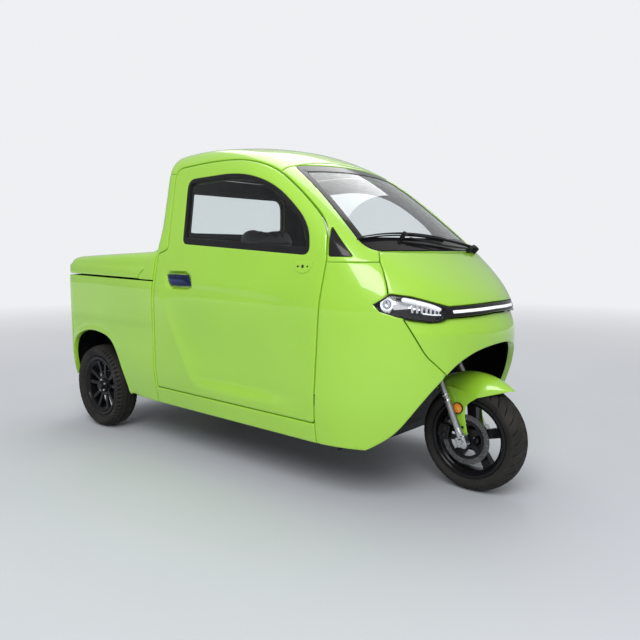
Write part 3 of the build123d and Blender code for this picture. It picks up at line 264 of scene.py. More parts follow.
# ================================================================ meshes
def make_object(
    name: str, points: Points, faces: Faces, coats: Sequence = (), which: Points | None = None,
    outward: bool = True, sharp: float = 38.0,
) -> Piece:
    """Put points and faces into a mesh object at the origin.

    Args:
        name: name of the piece.
        points: its points, n by 3.
        faces: lists of point numbers.
        coats: names of its finishes.
        which: number of the finish of each face.
        outward: whether the faces are turned outward once doubles are merged.
        sharp: angle in degrees above which an edge stays sharp.

    Returns:
        The new object.
    """
    mesh = bpy.data.meshes.new(name)
    mesh.from_pydata(np.asarray(points, float).tolist(), [], faces)
    for coat in coats:
        mesh.materials.append(finish(coat))
    if which is not None:
        mesh.polygons.foreach_set("material_index", np.asarray(which, np.int32))
    if outward:
        shape = bmesh.new()
        shape.from_mesh(mesh)
        bmesh.ops.remove_doubles(shape, verts=shape.verts, dist=1e-6)
        bmesh.ops.dissolve_degenerate(shape, edges=shape.edges, dist=1e-7)
        bmesh.ops.recalc_face_normals(shape, faces=shape.faces)
        shape.to_mesh(mesh)
        shape.free()
    mesh.polygons.foreach_set("use_smooth", np.ones(len(mesh.polygons), bool))
    mesh.set_sharp_from_angle(angle=math.radians(sharp))
    mesh.update()
    piece = bpy.data.objects.new(name, mesh)
    bpy.context.scene.collection.objects.link(piece)
    return piece


def grid_faces(rows: int, columns: int, wrap_rows: bool = False, wrap_columns: bool = False) -> Faces:
    """Quads of a grid of points stored row by row, closed round either way if asked.

    Args:
        rows: number of rows.
        columns: points in a row.
        wrap_rows: whether the last row joins the first.
        wrap_columns: whether a row's end joins its start.

    Returns:
        The quads as lists of point numbers.
    """
    r = np.arange(rows if wrap_rows else rows - 1)[:, None]
    c = np.arange(columns if wrap_columns else columns - 1)[None, :]
    r2, c2 = (r + 1) % rows, (c + 1) % columns
    quads = np.stack([r * columns + c, r2 * columns + c, r2 * columns + c2, r * columns + c2], -1)
    return quads.reshape(-1, 4).tolist()


def mirrored(*runs: Points) -> Points:
    """Closed loop of runs of points from middle to middle and their mirror image across y = 0."""
    half = np.vstack(runs)
    return np.vstack([half, (half * (1, -1, 1))[::-1][1:-1]])


def joined(parts: Sequence) -> Surface:
    """Several (points, faces) as one.

    Args:
        parts: pairs of points and faces.

    Returns:
        All points and all faces.
    """
    points, faces, start = [], [], 0
    for p, f in parts:
        points.append(np.asarray(p, float))
        faces += [[i + start for i in face] for face in f]
        start += len(p)
    return np.vstack(points), faces


def assembled(name: str, parts: Sequence, coat: str, sign: int = -1) -> Piece:
    """Several surfaces as one piece of one finish, mirrored across y = 0 for the left side."""
    points, faces = joined(parts)
    return make_object(name, points * (1, -sign, 1), faces, (coat,))


def turned(axis: Sequence) -> Points:
    """Three rows: two directions across an axis and the axis itself, right-handed.

    Args:
        axis: the axis, of any length.

    Returns:
        Three unit rows.
    """
    n = unit(axis)
    reference = np.array((0.0, 0.0, 1.0)) if abs(n[2]) < 0.9 else np.array((1.0, 0.0, 0.0))
    e1 = unit(np.cross(reference, n))
    return np.array((e1, np.cross(n, e1), n))


def lathe(profile: Sequence, centre: Sequence, axis: Sequence, steps: int = 48) -> Surface:
    """A closed profile of (distance from the axis, place along it) turned round the axis.

    The point at step i and profile place j is centre + along_j axis + out_j (cos a, sin a)
    in the two directions across the axis, with a growing evenly.

    Args:
        profile: pairs of distance from the axis and place along it.
        centre: origin of the axis.
        axis: its direction.
        steps: points round the axis.

    Returns:
        Points and faces.
    """
    out, along = np.asarray(profile, float).T
    e1, e2, n = turned(axis)
    a = np.linspace(0, 2 * np.pi, steps, endpoint=False)[:, None, None]
    ring = np.cos(a) * e1 + np.sin(a) * e2
    points = np.asarray(centre) + along[None, :, None] * n + out[None, :, None] * ring
    return points.reshape(-1, 3), grid_faces(steps, len(out), True, True)


def smooth_path(points: Sequence, steps: int = 12) -> Points:
    """Catmull-Rom curve through given points, with a number of steps between each pair.

    Args:
        points: points that the curve goes through.
        steps: points between each pair.

    Returns:
        The points of the curve.
    """
    p = np.asarray(points, float)
    p = np.vstack([2 * p[0] - p[1], p, 2 * p[-1] - p[-2]])
    t = (np.arange(steps) / steps)[None, :, None]
    a, b, c, d = (p[i:len(p) - 3 + i, None] for i in range(4))
    curve = 0.5 * (2 * b + (c - a) * t + (2 * a - 5 * b + 4 * c - d) * t**2 + (3 * b - a - 3 * c + d) * t**3)
    return np.vstack([curve.reshape(-1, p.shape[1]), p[-2:-1]])


def tube(path: Sequence, radius: float | Points, sides: int = 16, flat: float = 1.0) -> Surface:
    """Round or oval bar along a path, its ends domed by three shrinking rings.

    Args:
        path: points along the middle of the bar.
        radius: radius, one number or one for each point.
        sides: points round the bar.
        flat: height of the section as a share of its width.

    Returns:
        Points and faces.
    """
    p = np.asarray(path, float)
    r = np.broadcast_to(np.asarray(radius, float), (len(p),))
    along = unit(np.gradient(p, axis=0))
    dome = np.array((0.0, 0.5, 0.87))
    head = p[0] - along[0] * (r[0] * np.sqrt(1 - dome**2))[:, None]
    tail = p[-1] + along[-1] * (r[-1] * np.sqrt(1 - dome[::-1] ** 2))[:, None]
    p = np.vstack([head, p, tail])
    r = np.concatenate([r[0] * np.maximum(dome, 1e-3), r, r[-1] * np.maximum(dome[::-1], 1e-3)])
    along = np.vstack([np.repeat(along[:1], 3, 0), along, np.repeat(along[-1:], 3, 0)])
    reference = turned(along.mean(0) + 1e-6)[0]
    across = unit(np.cross(np.cross(along, reference), along))
    up = np.cross(along, across)
    a = np.linspace(0, 2 * np.pi, sides, endpoint=False)
    ring = across[:, None] * np.cos(a)[:, None] + up[:, None] * np.sin(a)[:, None] * flat
    points = p[:, None] + ring * r[:, None, None]
    faces = grid_faces(len(p), sides, False, True)
    faces += [list(range(sides)), list(range((len(p) - 1) * sides, len(p) * sides))]
    return points.reshape(-1, 3), faces


def block(
    size: Sequence, centre: Sequence, rows: Points | None = None, power: float = 0.28
) -> Surface:
    """Rounded block: a superellipsoid, half size times signed powers of cosine and sine.

    Args:
        size: full size along its three directions.
        centre: its middle.
        rows: its three directions, one a row; the axes if none.
        power: 1 gives an ellipsoid, near 0 a sharp block.

    Returns:
        Points and faces.
    """
    across = np.linspace(-np.pi / 2, np.pi / 2, 17)[:, None]
    around = np.linspace(-np.pi, np.pi, 33)[None, :-1]

    def bend(v: Points) -> Points:
        """Signed power of a cosine or sine."""
        return np.sign(v) * np.abs(v) ** power

    level, rise = bend(np.cos(across)), bend(np.sin(across)) * np.ones_like(around)
    sides = (level * bend(np.cos(around)), level * bend(np.sin(around)))
    shape = np.stack([*sides, rise], -1) * np.asarray(size) / 2
    turn = np.eye(3) if rows is None else np.asarray(rows)
    return shape.reshape(-1, 3) @ turn + np.asarray(centre), grid_faces(17, 32, False, True)


def plate(
    outline: Points, holes: Sequence, thickness: float, place: Points, centre: Sequence
) -> Surface:
    """Flat plate of an outline with holes, its thickness along the last row of place.

    The outline and holes are triangulated once; the front and back are that surface at half
    a thickness either way, and a wall joins their free edges.

    Args:
        outline: closed outline.
        holes: closed outlines of the holes.
        thickness: its thickness.
        place: its three directions, one a row.
        centre: where the outline's origin goes.

    Returns:
        Points and faces.
    """
    flat, triangles, _ = fill([outline, *holes], np.empty((0, 2)))
    front = np.column_stack([flat, np.full(len(flat), thickness / 2)])
    back = front * (1, 1, -1)
    edges = free_edges(triangles)
    n = len(flat)
    wall = np.stack([edges[:, 1], edges[:, 0], edges[:, 0] + n, edges[:, 1] + n], 1)
    points = np.vstack([front, back]) @ np.asarray(place) + np.asarray(centre)
    return points, [*triangles.tolist(), *(triangles[:, ::-1] + n).tolist(), *wall.tolist()]


def fill(loops: Sequence, extra: Points) -> tuple[Points, Points, Points]:
    """Triangulate the flat region inside some loops, using extra points as well.

    Args:
        loops: outer outline and holes.
        extra: points inside the region.

    Returns:
        Flat points, counter-clockwise triangles and, for each point, its number among the
        loops' points followed by the extra ones.
    """
    given = np.vstack([*loops, extra])
    edges, start = [], 0
    for loop in loops:
        i = np.arange(len(loop))
        edges += np.stack([i + start, (i + 1) % len(loop) + start], 1).tolist()
        start += len(loop)
    corners = list(map(Vector, given.tolist()))
    made, _, faces, source, _, _ = geometry.delaunay_2d_cdt(corners, edges, [], 0, 1e-7)
    flat = np.array([tuple(v) for v in made])
    origin = np.array([s[0] if s else -1 for s in source])
    triangles = np.array(faces)
    keep = inside(flat[triangles].mean(1), loops) & (origin[triangles] >= 0).all(1)
    triangles = triangles[keep]
    a, b, c = (flat[triangles[:, i]] for i in range(3))
    area = (b - a)[:, 0] * (c - a)[:, 1] - (b - a)[:, 1] * (c - a)[:, 0]
    triangles[area < 0] = triangles[area < 0][:, ::-1]
    triangles = triangles[np.abs(area) > 1e-12]
    used, triangles = np.unique(triangles, return_inverse=True)
    return flat[used], triangles.reshape(-1, 3), origin[used]


def free_edges(triangles: Points) -> Points:
    """Directed edges that belong to one triangle only.

    Args:
        triangles: point numbers, three a row.

    Returns:
        Pairs of point numbers, in the triangles' direction.
    """
    edges = np.vstack([triangles[:, (0, 1)], triangles[:, (1, 2)], triangles[:, (2, 0)]])
    forward = {tuple(e) for e in edges.tolist()}
    return np.array([e for e in edges.tolist() if (e[1], e[0]) not in forward])


# ================================================================ body forms
class Form:
    """A closed shape given by a value that is negative inside and zero on its skin."""

    reach: float = 2.0

    def value(self, p: Points) -> Points:
        """Signed value at each point."""
        raise NotImplementedError

    def normal(self, p: Points) -> Points:
        """Outward directions: the gradient by central differences."""
        steps = np.eye(3) * 4e-4
        return unit(np.stack([self.value(p + s) - self.value(p - s) for s in steps], -1))

    def hit(self, start: Points, way: Points, inset: float = 0.0) -> Points:
        """Where rays from inside reach the skin, by halving, or a surface inset from it.

        Args:
            start: where each ray starts.
            way: its direction, of length one.
            inset: depth under the skin.

        Returns:
            The place where each ray meets the surface.
        """
        near, far = np.zeros(len(start)), np.full(len(start), self.reach)
        for _ in range(25):
            middle = (near + far) / 2
            within = self.value(start + way * middle[:, None]) < -inset
            near, far = np.where(within, middle, near), np.where(within, far, middle)
        return start + way * near[:, None]

    def side(self, outline: Sequence, sign: int) -> Points:
        """Points of the skin under an outline of (x, z) seen from one side.

        Args:
            outline: (x, z) of each point.
            sign: -1 for the right side, +1 for the left.

        Returns:
            The places on the skin.
        """
        x, z = np.asarray(outline, float).T
        start = np.stack([x, np.zeros_like(x), z], 1)
        return self.hit(start, np.broadcast_to((0.0, sign, 0.0), start.shape))

    def front(self, outline: Sequence, x: float = 0.3, sign: int = 1) -> Points:
        """Points of the skin under an outline of (y, z) seen from the front or the rear.

        Args:
            outline: (y, z) of each point.
            x: where the rays start.
            sign: +1 for the front, -1 for the rear.

        Returns:
            The places on the skin.
        """
        y, z = np.asarray(outline, float).T
        start = np.stack([np.full_like(y, x), y, z], 1)
        return self.hit(start, np.broadcast_to((sign, 0.0, 0.0), start.shape))

    def level(self, start: Points, end: Points, x: float, steps: int = 30) -> Points:
        """Points of the skin from one to another, turning evenly about the upright line at x.

        Args:
            start: first point.
            end: last point.
            x: where the upright line stands.
            steps: number of points.

        Returns:
            The places on the skin, both ends included.
        """
        a, b = (math.atan2(p[1], p[0] - x) for p in (start, end))
        t = np.linspace(0, 1, steps)
        turn = (b - a + math.pi) % (2 * math.pi) - math.pi
        angle, z = a + turn * t, start[2] + (end[2] - start[2]) * t
        origin = np.stack([np.full_like(t, x), 0 * t, z], 1)
        return self.hit(origin, np.stack([np.cos(angle), np.sin(angle), 0 * t], 1))

    def fan(self, x: float, height: float, end: Points, steps: int = 40) -> Points:
        """Points of the skin in the plane of x, turning from straight up to an end point.

        Args:
            x: the plane.
            height: height of the turning line.
            end: point of the skin to end at.
            steps: number of points.

        Returns:
            The places on the skin.
        """
        last = math.atan2(end[2] - height, end[1])
        angle = np.linspace(math.pi / 2, last if last > -math.pi / 2 else last + 2 * math.pi, steps)
        origin = np.broadcast_to((x, 0.0, height), (steps, 3))
        return self.hit(origin, np.stack([0 * angle, np.cos(angle), np.sin(angle)], 1))


@dataclass(frozen=True)
class CabForm(Form):
    """Cab: side walls, round nose, spherical roof, crowned slopes, flat rear and bottom."""

    crown: float = 1.9          # radius of roof, windscreen and bonnet across the car
    peak: tuple = (AXLE_X - 1.371, HEIGHT)
    header: tuple = (AXLE_X - 0.698, HEIGHT - 0.128)
    cowl: tuple = (AXLE_X - 0.131, 1.053)
    lamp_line: tuple = (AXLE_X + 0.109, 0.840)
    nose_tip: float = AXLE_X + 0.119
    nose_r: float = HALF - 0.010
    bottom: float = 0.235
    widths: tuple = (
        (0.235, HALF - 0.028, 0.420, HALF), (0.420, HALF, 0.870, HALF),
        (0.870, HALF, 1.065, HALF - 0.038), (1.065, HALF - 0.038, HEIGHT + 0.02, HALF - 0.150),
    )
    corner: float = 0.085       # smoothing between sides and roof

    def half_width(self, z: Points) -> Points:
        """Half width at a height: the smooth least of four straight lines.

        Args:
            z: heights.

        Returns:
            The half width at each.
        """
        lines = [w0 + (z - z0) * (w1 - w0) / (z1 - z0) for z0, w0, z1, w1 in self.widths]
        least = lines[0]
        for line in lines[1:]:
            least = -smax(-least, -line, 0.012)
        return least

    def slope(self, x: Points, y: Points, z: Points, low: tuple, high: tuple) -> Points:
        """Distance outside a cylinder that lies along a slope and crowns across it.

        Args:
            x: places along the car.
            y: places across it.
            z: heights.
            low: (x, z) of the slope's low end.
            high: (x, z) of its high end.

        Returns:
            The signed distances.
        """
        run, rise = high[0] - low[0], high[1] - low[1]
        size = math.hypot(run, rise)
        nx, nz = (rise / size, -run / size)
        out = (x - low[0]) * nx + (z - low[1]) * nz
        return np.hypot(y, out + self.crown) - self.crown

    def value(self, p: Points) -> Points:
        """Smooth maximum of the simple shapes.

        Args:
            p: places in space, one a row.

        Returns:
            The signed value at each.
        """
        x, y, z = p[..., 0], p[..., 1], p[..., 2]
        nose_x = self.nose_tip - self.nose_r
        taper = np.clip((x - CAB_REAR_X) / (nose_x - CAB_REAR_X), 0, 1)
        wall = np.hypot(np.maximum(x - nose_x, 0), y) - self.half_width(z) + (HALF - self.nose_r) * taper
        screen = self.slope(x, y, z, self.cowl, self.header)
        bonnet = self.slope(x, y, z, self.lamp_line, self.cowl)
        top = smax(screen, bonnet, 0.05)
        centre_z = self.peak[1] - self.crown
        roof = np.sqrt((x - self.peak[0]) ** 2 + y * y + (z - centre_z) ** 2) - self.crown
        top = smax(top, roof, 0.10)
        body = smax(wall, top, self.corner)
        body = smax(body, self.bottom - z, 0.016)
        return smax(body, CAB_REAR_X - x, 0.004 + 0.050 * step(z, 1.00, 1.22))


@dataclass(frozen=True)
class BedForm(Form):
    """Cargo bed with its lid: tucked sides, round tail corners, a top that falls rearward."""

    front_top: float = 1.075
    tail_top: float = 1.038
    front_bottom: float = 0.235
    tail_bottom: float = 0.285
    tuck: tuple = (0.235, HALF - 0.028, 0.420, HALF)
    lean: float = 0.195         # inward lean of the upper sides at the cab
    length: float = CAB_REAR_X - TAIL_X

    def value(self, p: Points) -> Points:
        """Smooth maximum of sides, tail, top and bottom.

        Args:
            p: places in space, one a row.

        Returns:
            The signed value at each.
        """
        x, y, z = p[..., 0], np.abs(p[..., 1]), p[..., 2]
        z0, w0, z1, w1 = self.tuck
        width = -smax(-(w0 + (z - z0) * (w1 - w0) / (z1 - z0)), -w1 + 0 * z, 0.012)
        along = (CAB_REAR_X - x) / self.length
        width = width - self.lean * np.maximum(z - 0.870, 0) * (1 - 0.7 * step(along, 0.05, 0.6))
        body = smax(y - width, TAIL_X - x, 0.120)
        body = smax(body, z - self.front_top + along * (self.front_top - self.tail_top), 0.068)
        bottom = self.front_bottom + along * (self.tail_bottom - self.front_bottom)
        return smax(body, bottom - z, 0.016)


CAB = CabForm()
BED = BedForm()


@dataclass(frozen=True)
class Chart:
    """Flat map of the part of a form that is seen from a place inside it.

    With a spread it is the stereographic map of the directions from the centre: for a unit
    direction d and axis n, the map is (d.e1, d.e2) / (1 + d.n), times twice the spread.
    Without one the rays are parallel, and the map is (q.e1, q.e2) of the place q.
    """

    form: Form
    centre: tuple
    axis: tuple
    spread: float = 0.6

    def to_flat(self, p: Points) -> Points:
        """Places in space to places on the map.

        Args:
            p: places in space, one a row.

        Returns:
            Their places on the map.
        """
        e1, e2, n = turned(self.axis)
        q = p - np.array(self.centre)
        if not self.spread:
            return np.stack([q @ e1, q @ e2], 1)
        d = unit(q)
        return np.stack([d @ e1, d @ e2], 1) * (2 * self.spread / (1 + d @ n))[:, None]

    def to_form(self, flat: Points, inset: float) -> Points:
        """Places on the map to places on the form, or on a surface inset from it.

        Args:
            flat: places on the map.
            inset: depth of the surface under the skin.

        Returns:
            Their places in space.
        """
        e1, e2, n = turned(self.axis)
        if not self.spread:
            start = np.array(self.centre) + flat[:, :1] * e1 + flat[:, 1:] * e2
            return self.form.hit(start, np.broadcast_to(n, start.shape), inset)
        q = flat / (2 * self.spread)
        size = (q * q).sum(1, keepdims=True)
        way = (2 * q[:, :1] * e1 + 2 * q[:, 1:] * e2 + (1 - size) * n) / (1 + size)
        return self.form.hit(np.broadcast_to(self.centre, way.shape), way, inset)


def flat_chart(form: Form, axis: Sequence, centre: Sequence = (0.0, 0.0, 0.6)) -> Chart:
    """Chart with parallel rays."""
    return Chart(form, tuple(centre), tuple(axis), 0.0)


CAB_SIDE = flat_chart(CAB, (0, -1, 0))
CAB_ROOF = Chart(CAB, (-0.05, 0.0, 1.15), (0, 0, 1), 0.45)
CAB_REAR = Chart(CAB, (0.15, 0.0, 0.9), (-1, 0, 0), 0.6)
CAB_SCREEN = Chart(CAB, (0.42, 0.0, 1.12), (0.62, 0, 0.78), 0.5)
CAB_BONNET = Chart(CAB, (0.55, 0.0, 0.65), (0.75, 0, 0.66), 0.5)
CAB_NOSE = Chart(CAB, (0.6, 0.0, 0.74), (1, 0, 0), 0.6)
CAB_WING = Chart(CAB, (0.50, 0.0, 0.72), (0.55, -0.83, 0), 0.55)
BED_SIDE = flat_chart(BED, (0, -1, 0))
BED_TAIL = Chart(BED, (-1.05, 0.0, 0.66), (-1, 0, 0), 0.5)
BED_LID = Chart(BED, (-0.98, 0.0, 0.72), (0, 0, 1), 0.45)
BED_DECK = Chart(BED, (-0.50, 0.0, 0.72), (0, 0, 1), 0.45)


@dataclass
class Panel:
    """A closed shell cut from a form: skin, rolled edges, side wall and inner face.

    The skin is a grid on the chart plus rows of points beside its edges. Near an edge it
    drops by r (1 - sqrt(1 - (1 - d/r)^2)), a quarter circle of the roll radius r over the
    distance d, and a relief may move it further along its normal.
    """

    name: str
    chart: Chart
    outline: Points
    holes: list = field(default_factory=list)
    thickness: float = PANEL_T
    inset: float = 0.0
    roll: float = EDGE_ROLL
    spacing: float = GRID
    relief: Callable[[Points], Points] | None = None

    def rows(self, loops: Sequence) -> Points:
        """Places beside the edges, on the material's side, at shares of the roll radius.

        Args:
            loops: outlines on the form.

        Returns:
            Pairs of places and their distance from the edge.
        """
        found = []
        for loop in loops:
            along = unit(np.roll(loop, -1, 0) - np.roll(loop, 1, 0))
            inward = unit(np.cross(self.chart.form.normal(loop), along))
            found += [(loop + inward * self.roll * share, self.roll * share) for share in (0.3, 1.0, 2.4)]
        return found

    def skin(self) -> tuple[Points, Points, Points]:
        """Points on the surface, triangles, and each point's distance from the edge.

        Returns:
            Points, triangles and distances.
        """
        chart = self.chart
        flats = [chart.to_flat(np.asarray(loop)) for loop in (self.outline, *self.holes)]
        flats = [f if (signed_area(f) > 0) == (i == 0) else f[::-1] for i, f in enumerate(flats)]
        loops = [chart.to_form(f, self.inset) for f in flats]
        extra = []
        for places, distance in self.rows(loops):
            flat = chart.to_flat(places)
            on_form = chart.to_form(flat, self.inset)
            good = inside(flat, flats) & (gap_to(on_form, loops) > 0.75 * distance)
            extra.append(flat[good])
        low, high = np.vstack(flats).min(0), np.vstack(flats).max(0)
        x = np.arange(low[0], high[0], self.spacing)
        y = np.arange(low[1], high[1], self.spacing * 0.87)
        grid = np.stack(np.meshgrid(x, y, indexing="ij"), -1)
        grid[:, 1::2, 0] += self.spacing / 2
        grid = grid.reshape(-1, 2)
        grid = grid[inside(grid, flats)]
        extra.append(grid[gap_to(grid, flats) > 0.5 * self.spacing])
        flat, triangles, _ = fill(flats, np.vstack(extra))
        points = chart.to_form(flat, self.inset)
        return points, triangles, gap_to(points, loops)

    def shell(self) -> tuple[Points, Faces, Points]:
        """Points, faces and, for each face, whether it belongs to the inner face.

        Returns:
            Points, faces and that mark.
        """
        points, triangles, edge = self.skin()
        normal = self.chart.form.normal(points)
        share = 1 - np.minimum(edge / max(self.roll, 1e-9), 1)
        drop = self.roll * (1 - np.sqrt(np.maximum(1 - share * share, 0)))
        if self.relief is not None:
            points = points + normal * self.relief(points)[:, None]
        outer = points - normal * drop[:, None]
        inner = points - normal * self.thickness
        n = len(points)
        edges = free_edges(triangles)
        wall = np.stack([edges[:, 1], edges[:, 0], edges[:, 0] + n, edges[:, 1] + n], 1)
        faces = [*triangles.tolist(), *wall.tolist(), *(triangles[:, ::-1] + n).tolist()]
        inside_face = np.repeat((0, 0, 1), (len(triangles), len(wall), len(triangles)))
        return np.vstack([outer, inner]), faces, inside_face

    def build(self, coats: Sequence, sign: int = -1) -> Piece:
        """The panel as an object; a sign of +1 makes the mirrored one on the left.

        Args:
            coats: names of its finishes: outside, and inner face if it differs.
            sign: -1 as it is, +1 mirrored.

        Returns:
            The panel.
        """
        points, faces, inner = self.shell()
        if sign > 0:
            points = points * (1, -1, 1)
            faces = [face[::-1] for face in faces]
        return make_object(self.name, points, faces, coats, inner * (len(coats) > 1), False)


def settle(piece: Piece, body: str, slot: Finish, replaced: Sequence = ()) -> Piece:
    """Give a finished piece its body, hide what it stands for, and log it.

    Args:
        piece: the piece.
        body: body that it rides on.
        slot: its material slot; not used.
        replaced: construction nodes that it stands for.

    Returns:
        The same piece.
    """
    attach(piece, body)
    if replaced:
        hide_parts(*replaced)
    LOG.info("%s: %d faces on %s", piece.name, len(piece.data.polygons), body)
    return piece


# ================================================================ finishes
class Nodes:
    """Fills a node tree, one node a call."""

    def __init__(self, tree: bpy.types.NodeTree) -> None:
        """Start from an empty tree."""
        self.tree = tree
        self.tree.nodes.clear()

    def add(self, kind: str, sockets: dict | None = None, **settings: object) -> bpy.types.Node:
        """Add a node, with values or links for its sockets and settings by name.

        Args:
            kind: type of the node.
            sockets: values or links for its sockets, by name.
            settings: its settings, by name.

        Returns:
            The node.
        """
        node = self.tree.nodes.new(kind)
        for key, value in settings.items():
            setattr(node, key, value)
        for key, value in (sockets or {}).items():
            self.put(node.inputs[key], value)
        return node

    def put(self, socket: Socket, value: object) -> None:
        """Set a socket's value, or link another socket to it.

        Args:
            socket: the socket.
            value: a value or another node's output.
        """
        if isinstance(value, Socket):
            self.tree.links.new(value, socket)
        else:
            socket.default_value = value

    def ramp(self, value: Socket, low: object, high: object, span: tuple = (0.3, 0.7)) -> Socket:
        """Blend from low to high, colours or numbers, as the value crosses a span.

        Args:
            value: what drives the blend.
            low: colour or number at its start.
            high: the same at its end.
            span: where the blend starts and ends.

        Returns:
            The blended colour.
        """
        node = self.add("ShaderNodeValToRGB", {"Fac": value})
        for element, place, colour in zip(node.color_ramp.elements, span, (low, high)):
            element.position = place
            element.color = (*colour, 1) if isinstance(colour, tuple) else (colour,) * 3 + (1,)
        return node.outputs["Color"]


class SurfaceNodes(Nodes):
    """Node tree of a new material, with its output and surface shader."""

    def __init__(self, name: str) -> None:
        """Make the material and its first nodes.

        Args:
            name: name of the material.
        """
        self.material = bpy.data.materials.new(name)
        self.material.use_nodes = True
        super().__init__(self.material.node_tree)
        self.shader = self.add("ShaderNodeBsdfPrincipled")
        self.add("ShaderNodeOutputMaterial", {"Surface": self.shader.outputs[0]})
        self.place = self.add("ShaderNodeTexCoord").outputs["Object"]

    def surface(self, **sockets: object) -> None:
        """Set the surface shader's sockets, with underscores for spaces in their names."""
        for key, value in sockets.items():
            self.put(self.shader.inputs[key.replace("_", " ")], value)

    def noise(self, scale: float, detail: float = 2.0, stretched: tuple = (1, 1, 1)) -> Socket:
        """Noise over the piece's own place, stretched along the axes.

        Args:
            scale: noise cells in a metre.
            detail: octaves.
            stretched: scale of the place along each axis.

        Returns:
            The noise, about 0 to 1.
        """
        place = self.add("ShaderNodeMapping", {"Vector": self.place, "Scale": stretched}).outputs[0]
        sockets = {"Vector": place, "Scale": scale, "Detail": detail}
        return self.add("ShaderNodeTexNoise", sockets).outputs["Fac"]

    def bump(self, height: Socket, strength: float, distance: float) -> Socket:
        """Bumped normal from a height."""
        sockets = {"Height": height, "Strength": strength, "Distance": distance}
        return self.add("ShaderNodeBump", sockets).outputs["Normal"]


@dataclass(frozen=True)
class Coat:
    """Opaque finish: two close colours in soft patches, a grain and an optional clear coat.

    The colour blends from dark to light over a large noise, the roughness over a finer one,
    and the grain is a bump from a fine noise.
    """

    name: str
    dark: tuple
    light: tuple
    rough: tuple = (0.4, 0.5)
    patch: float = 3.0
    grain: float = 700.0
    grain_depth: float = 0.0
    metal: float = 0.0
    coat: float = 0.0
    coat_rough: float = 0.04
    stretched: tuple = (1.0, 1.0, 1.0)
    glow: float = 0.0
    specular: float = 0.5

    def make(self) -> bpy.types.Material:
        """Build the material's nodes.

        Returns:
            The material.
        """
        n = SurfaceNodes(self.name)
        patches = n.noise(self.patch, 3.0, self.stretched)
        n.surface(
            Base_Color=n.ramp(patches, self.dark, self.light),
            Roughness=n.ramp(n.noise(self.patch * 6, 4.0, self.stretched), *self.rough),
            Metallic=self.metal, Coat_Weight=self.coat, Coat_Roughness=self.coat_rough,
            Specular_IOR_Level=self.specular,
        )
        if self.grain_depth:
            n.surface(Normal=n.bump(n.noise(self.grain, 2.0, self.stretched), 0.6, self.grain_depth))
        if self.glow:
            n.surface(Emission_Color=(*self.light, 1), Emission_Strength=self.glow)
        return n.material


@dataclass(frozen=True)
class Clear:
    """See-through finish: tinted body, faint streaks in its roughness."""

    name: str
    tint: tuple
    index: float = 1.45
    smear: tuple = (0.0, 0.02)

    def make(self) -> bpy.types.Material:
        """Build the material's nodes.

        Returns:
            The material.
        """
        n = SurfaceNodes(self.name)
        light = tuple(min(c * 1.04, 1) for c in self.tint)
        n.surface(
            Base_Color=n.ramp(n.noise(2.0), self.tint, light), Transmission_Weight=1.0, IOR=self.index,
            Roughness=n.ramp(n.noise(9.0, 4.0), *self.smear),
        )
        return n.material


@dataclass(frozen=True)
class Hide:
    """Grained vinyl or leather: cells of a fine Voronoi pattern as bump, worn sheen."""

    name: str
    dark: tuple
    light: tuple
    cells: float = 420.0

    def make(self) -> bpy.types.Material:
        """Build the material's nodes.

        Returns:
            The material.
        """
        n = SurfaceNodes(self.name)
        cell = n.add("ShaderNodeTexVoronoi", {"Vector": n.place, "Scale": self.cells}).outputs["Distance"]
        n.surface(
            Base_Color=n.ramp(n.noise(6.0, 4.0), self.dark, self.light),
            Roughness=n.ramp(n.noise(14.0, 3.0), 0.42, 0.6), Normal=n.bump(cell, 0.5, 0.0006),
        )
        return n.material


@dataclass(frozen=True)
class Ribbed:
    """Lens with moulded vertical ribs: bands across the car as bump, glossy."""

    name: str
    dark: tuple
    light: tuple
    pitch: float = 60.0

    def make(self) -> bpy.types.Material:
        """Build the material's nodes.

        Returns:
            The material.
        """
        n = SurfaceNodes(self.name)
        bands = n.add("ShaderNodeTexWave", {"Vector": n.place, "Scale": self.pitch}, bands_direction="Y")
        n.surface(
            Base_Color=n.ramp(bands.outputs["Fac"], self.dark, self.light, (0.0, 1.0)), Roughness=0.12,
            Coat_Weight=1.0, Coat_Roughness=0.02, Normal=n.bump(bands.outputs["Fac"], 0.4, 0.002),
        )
        return n.material


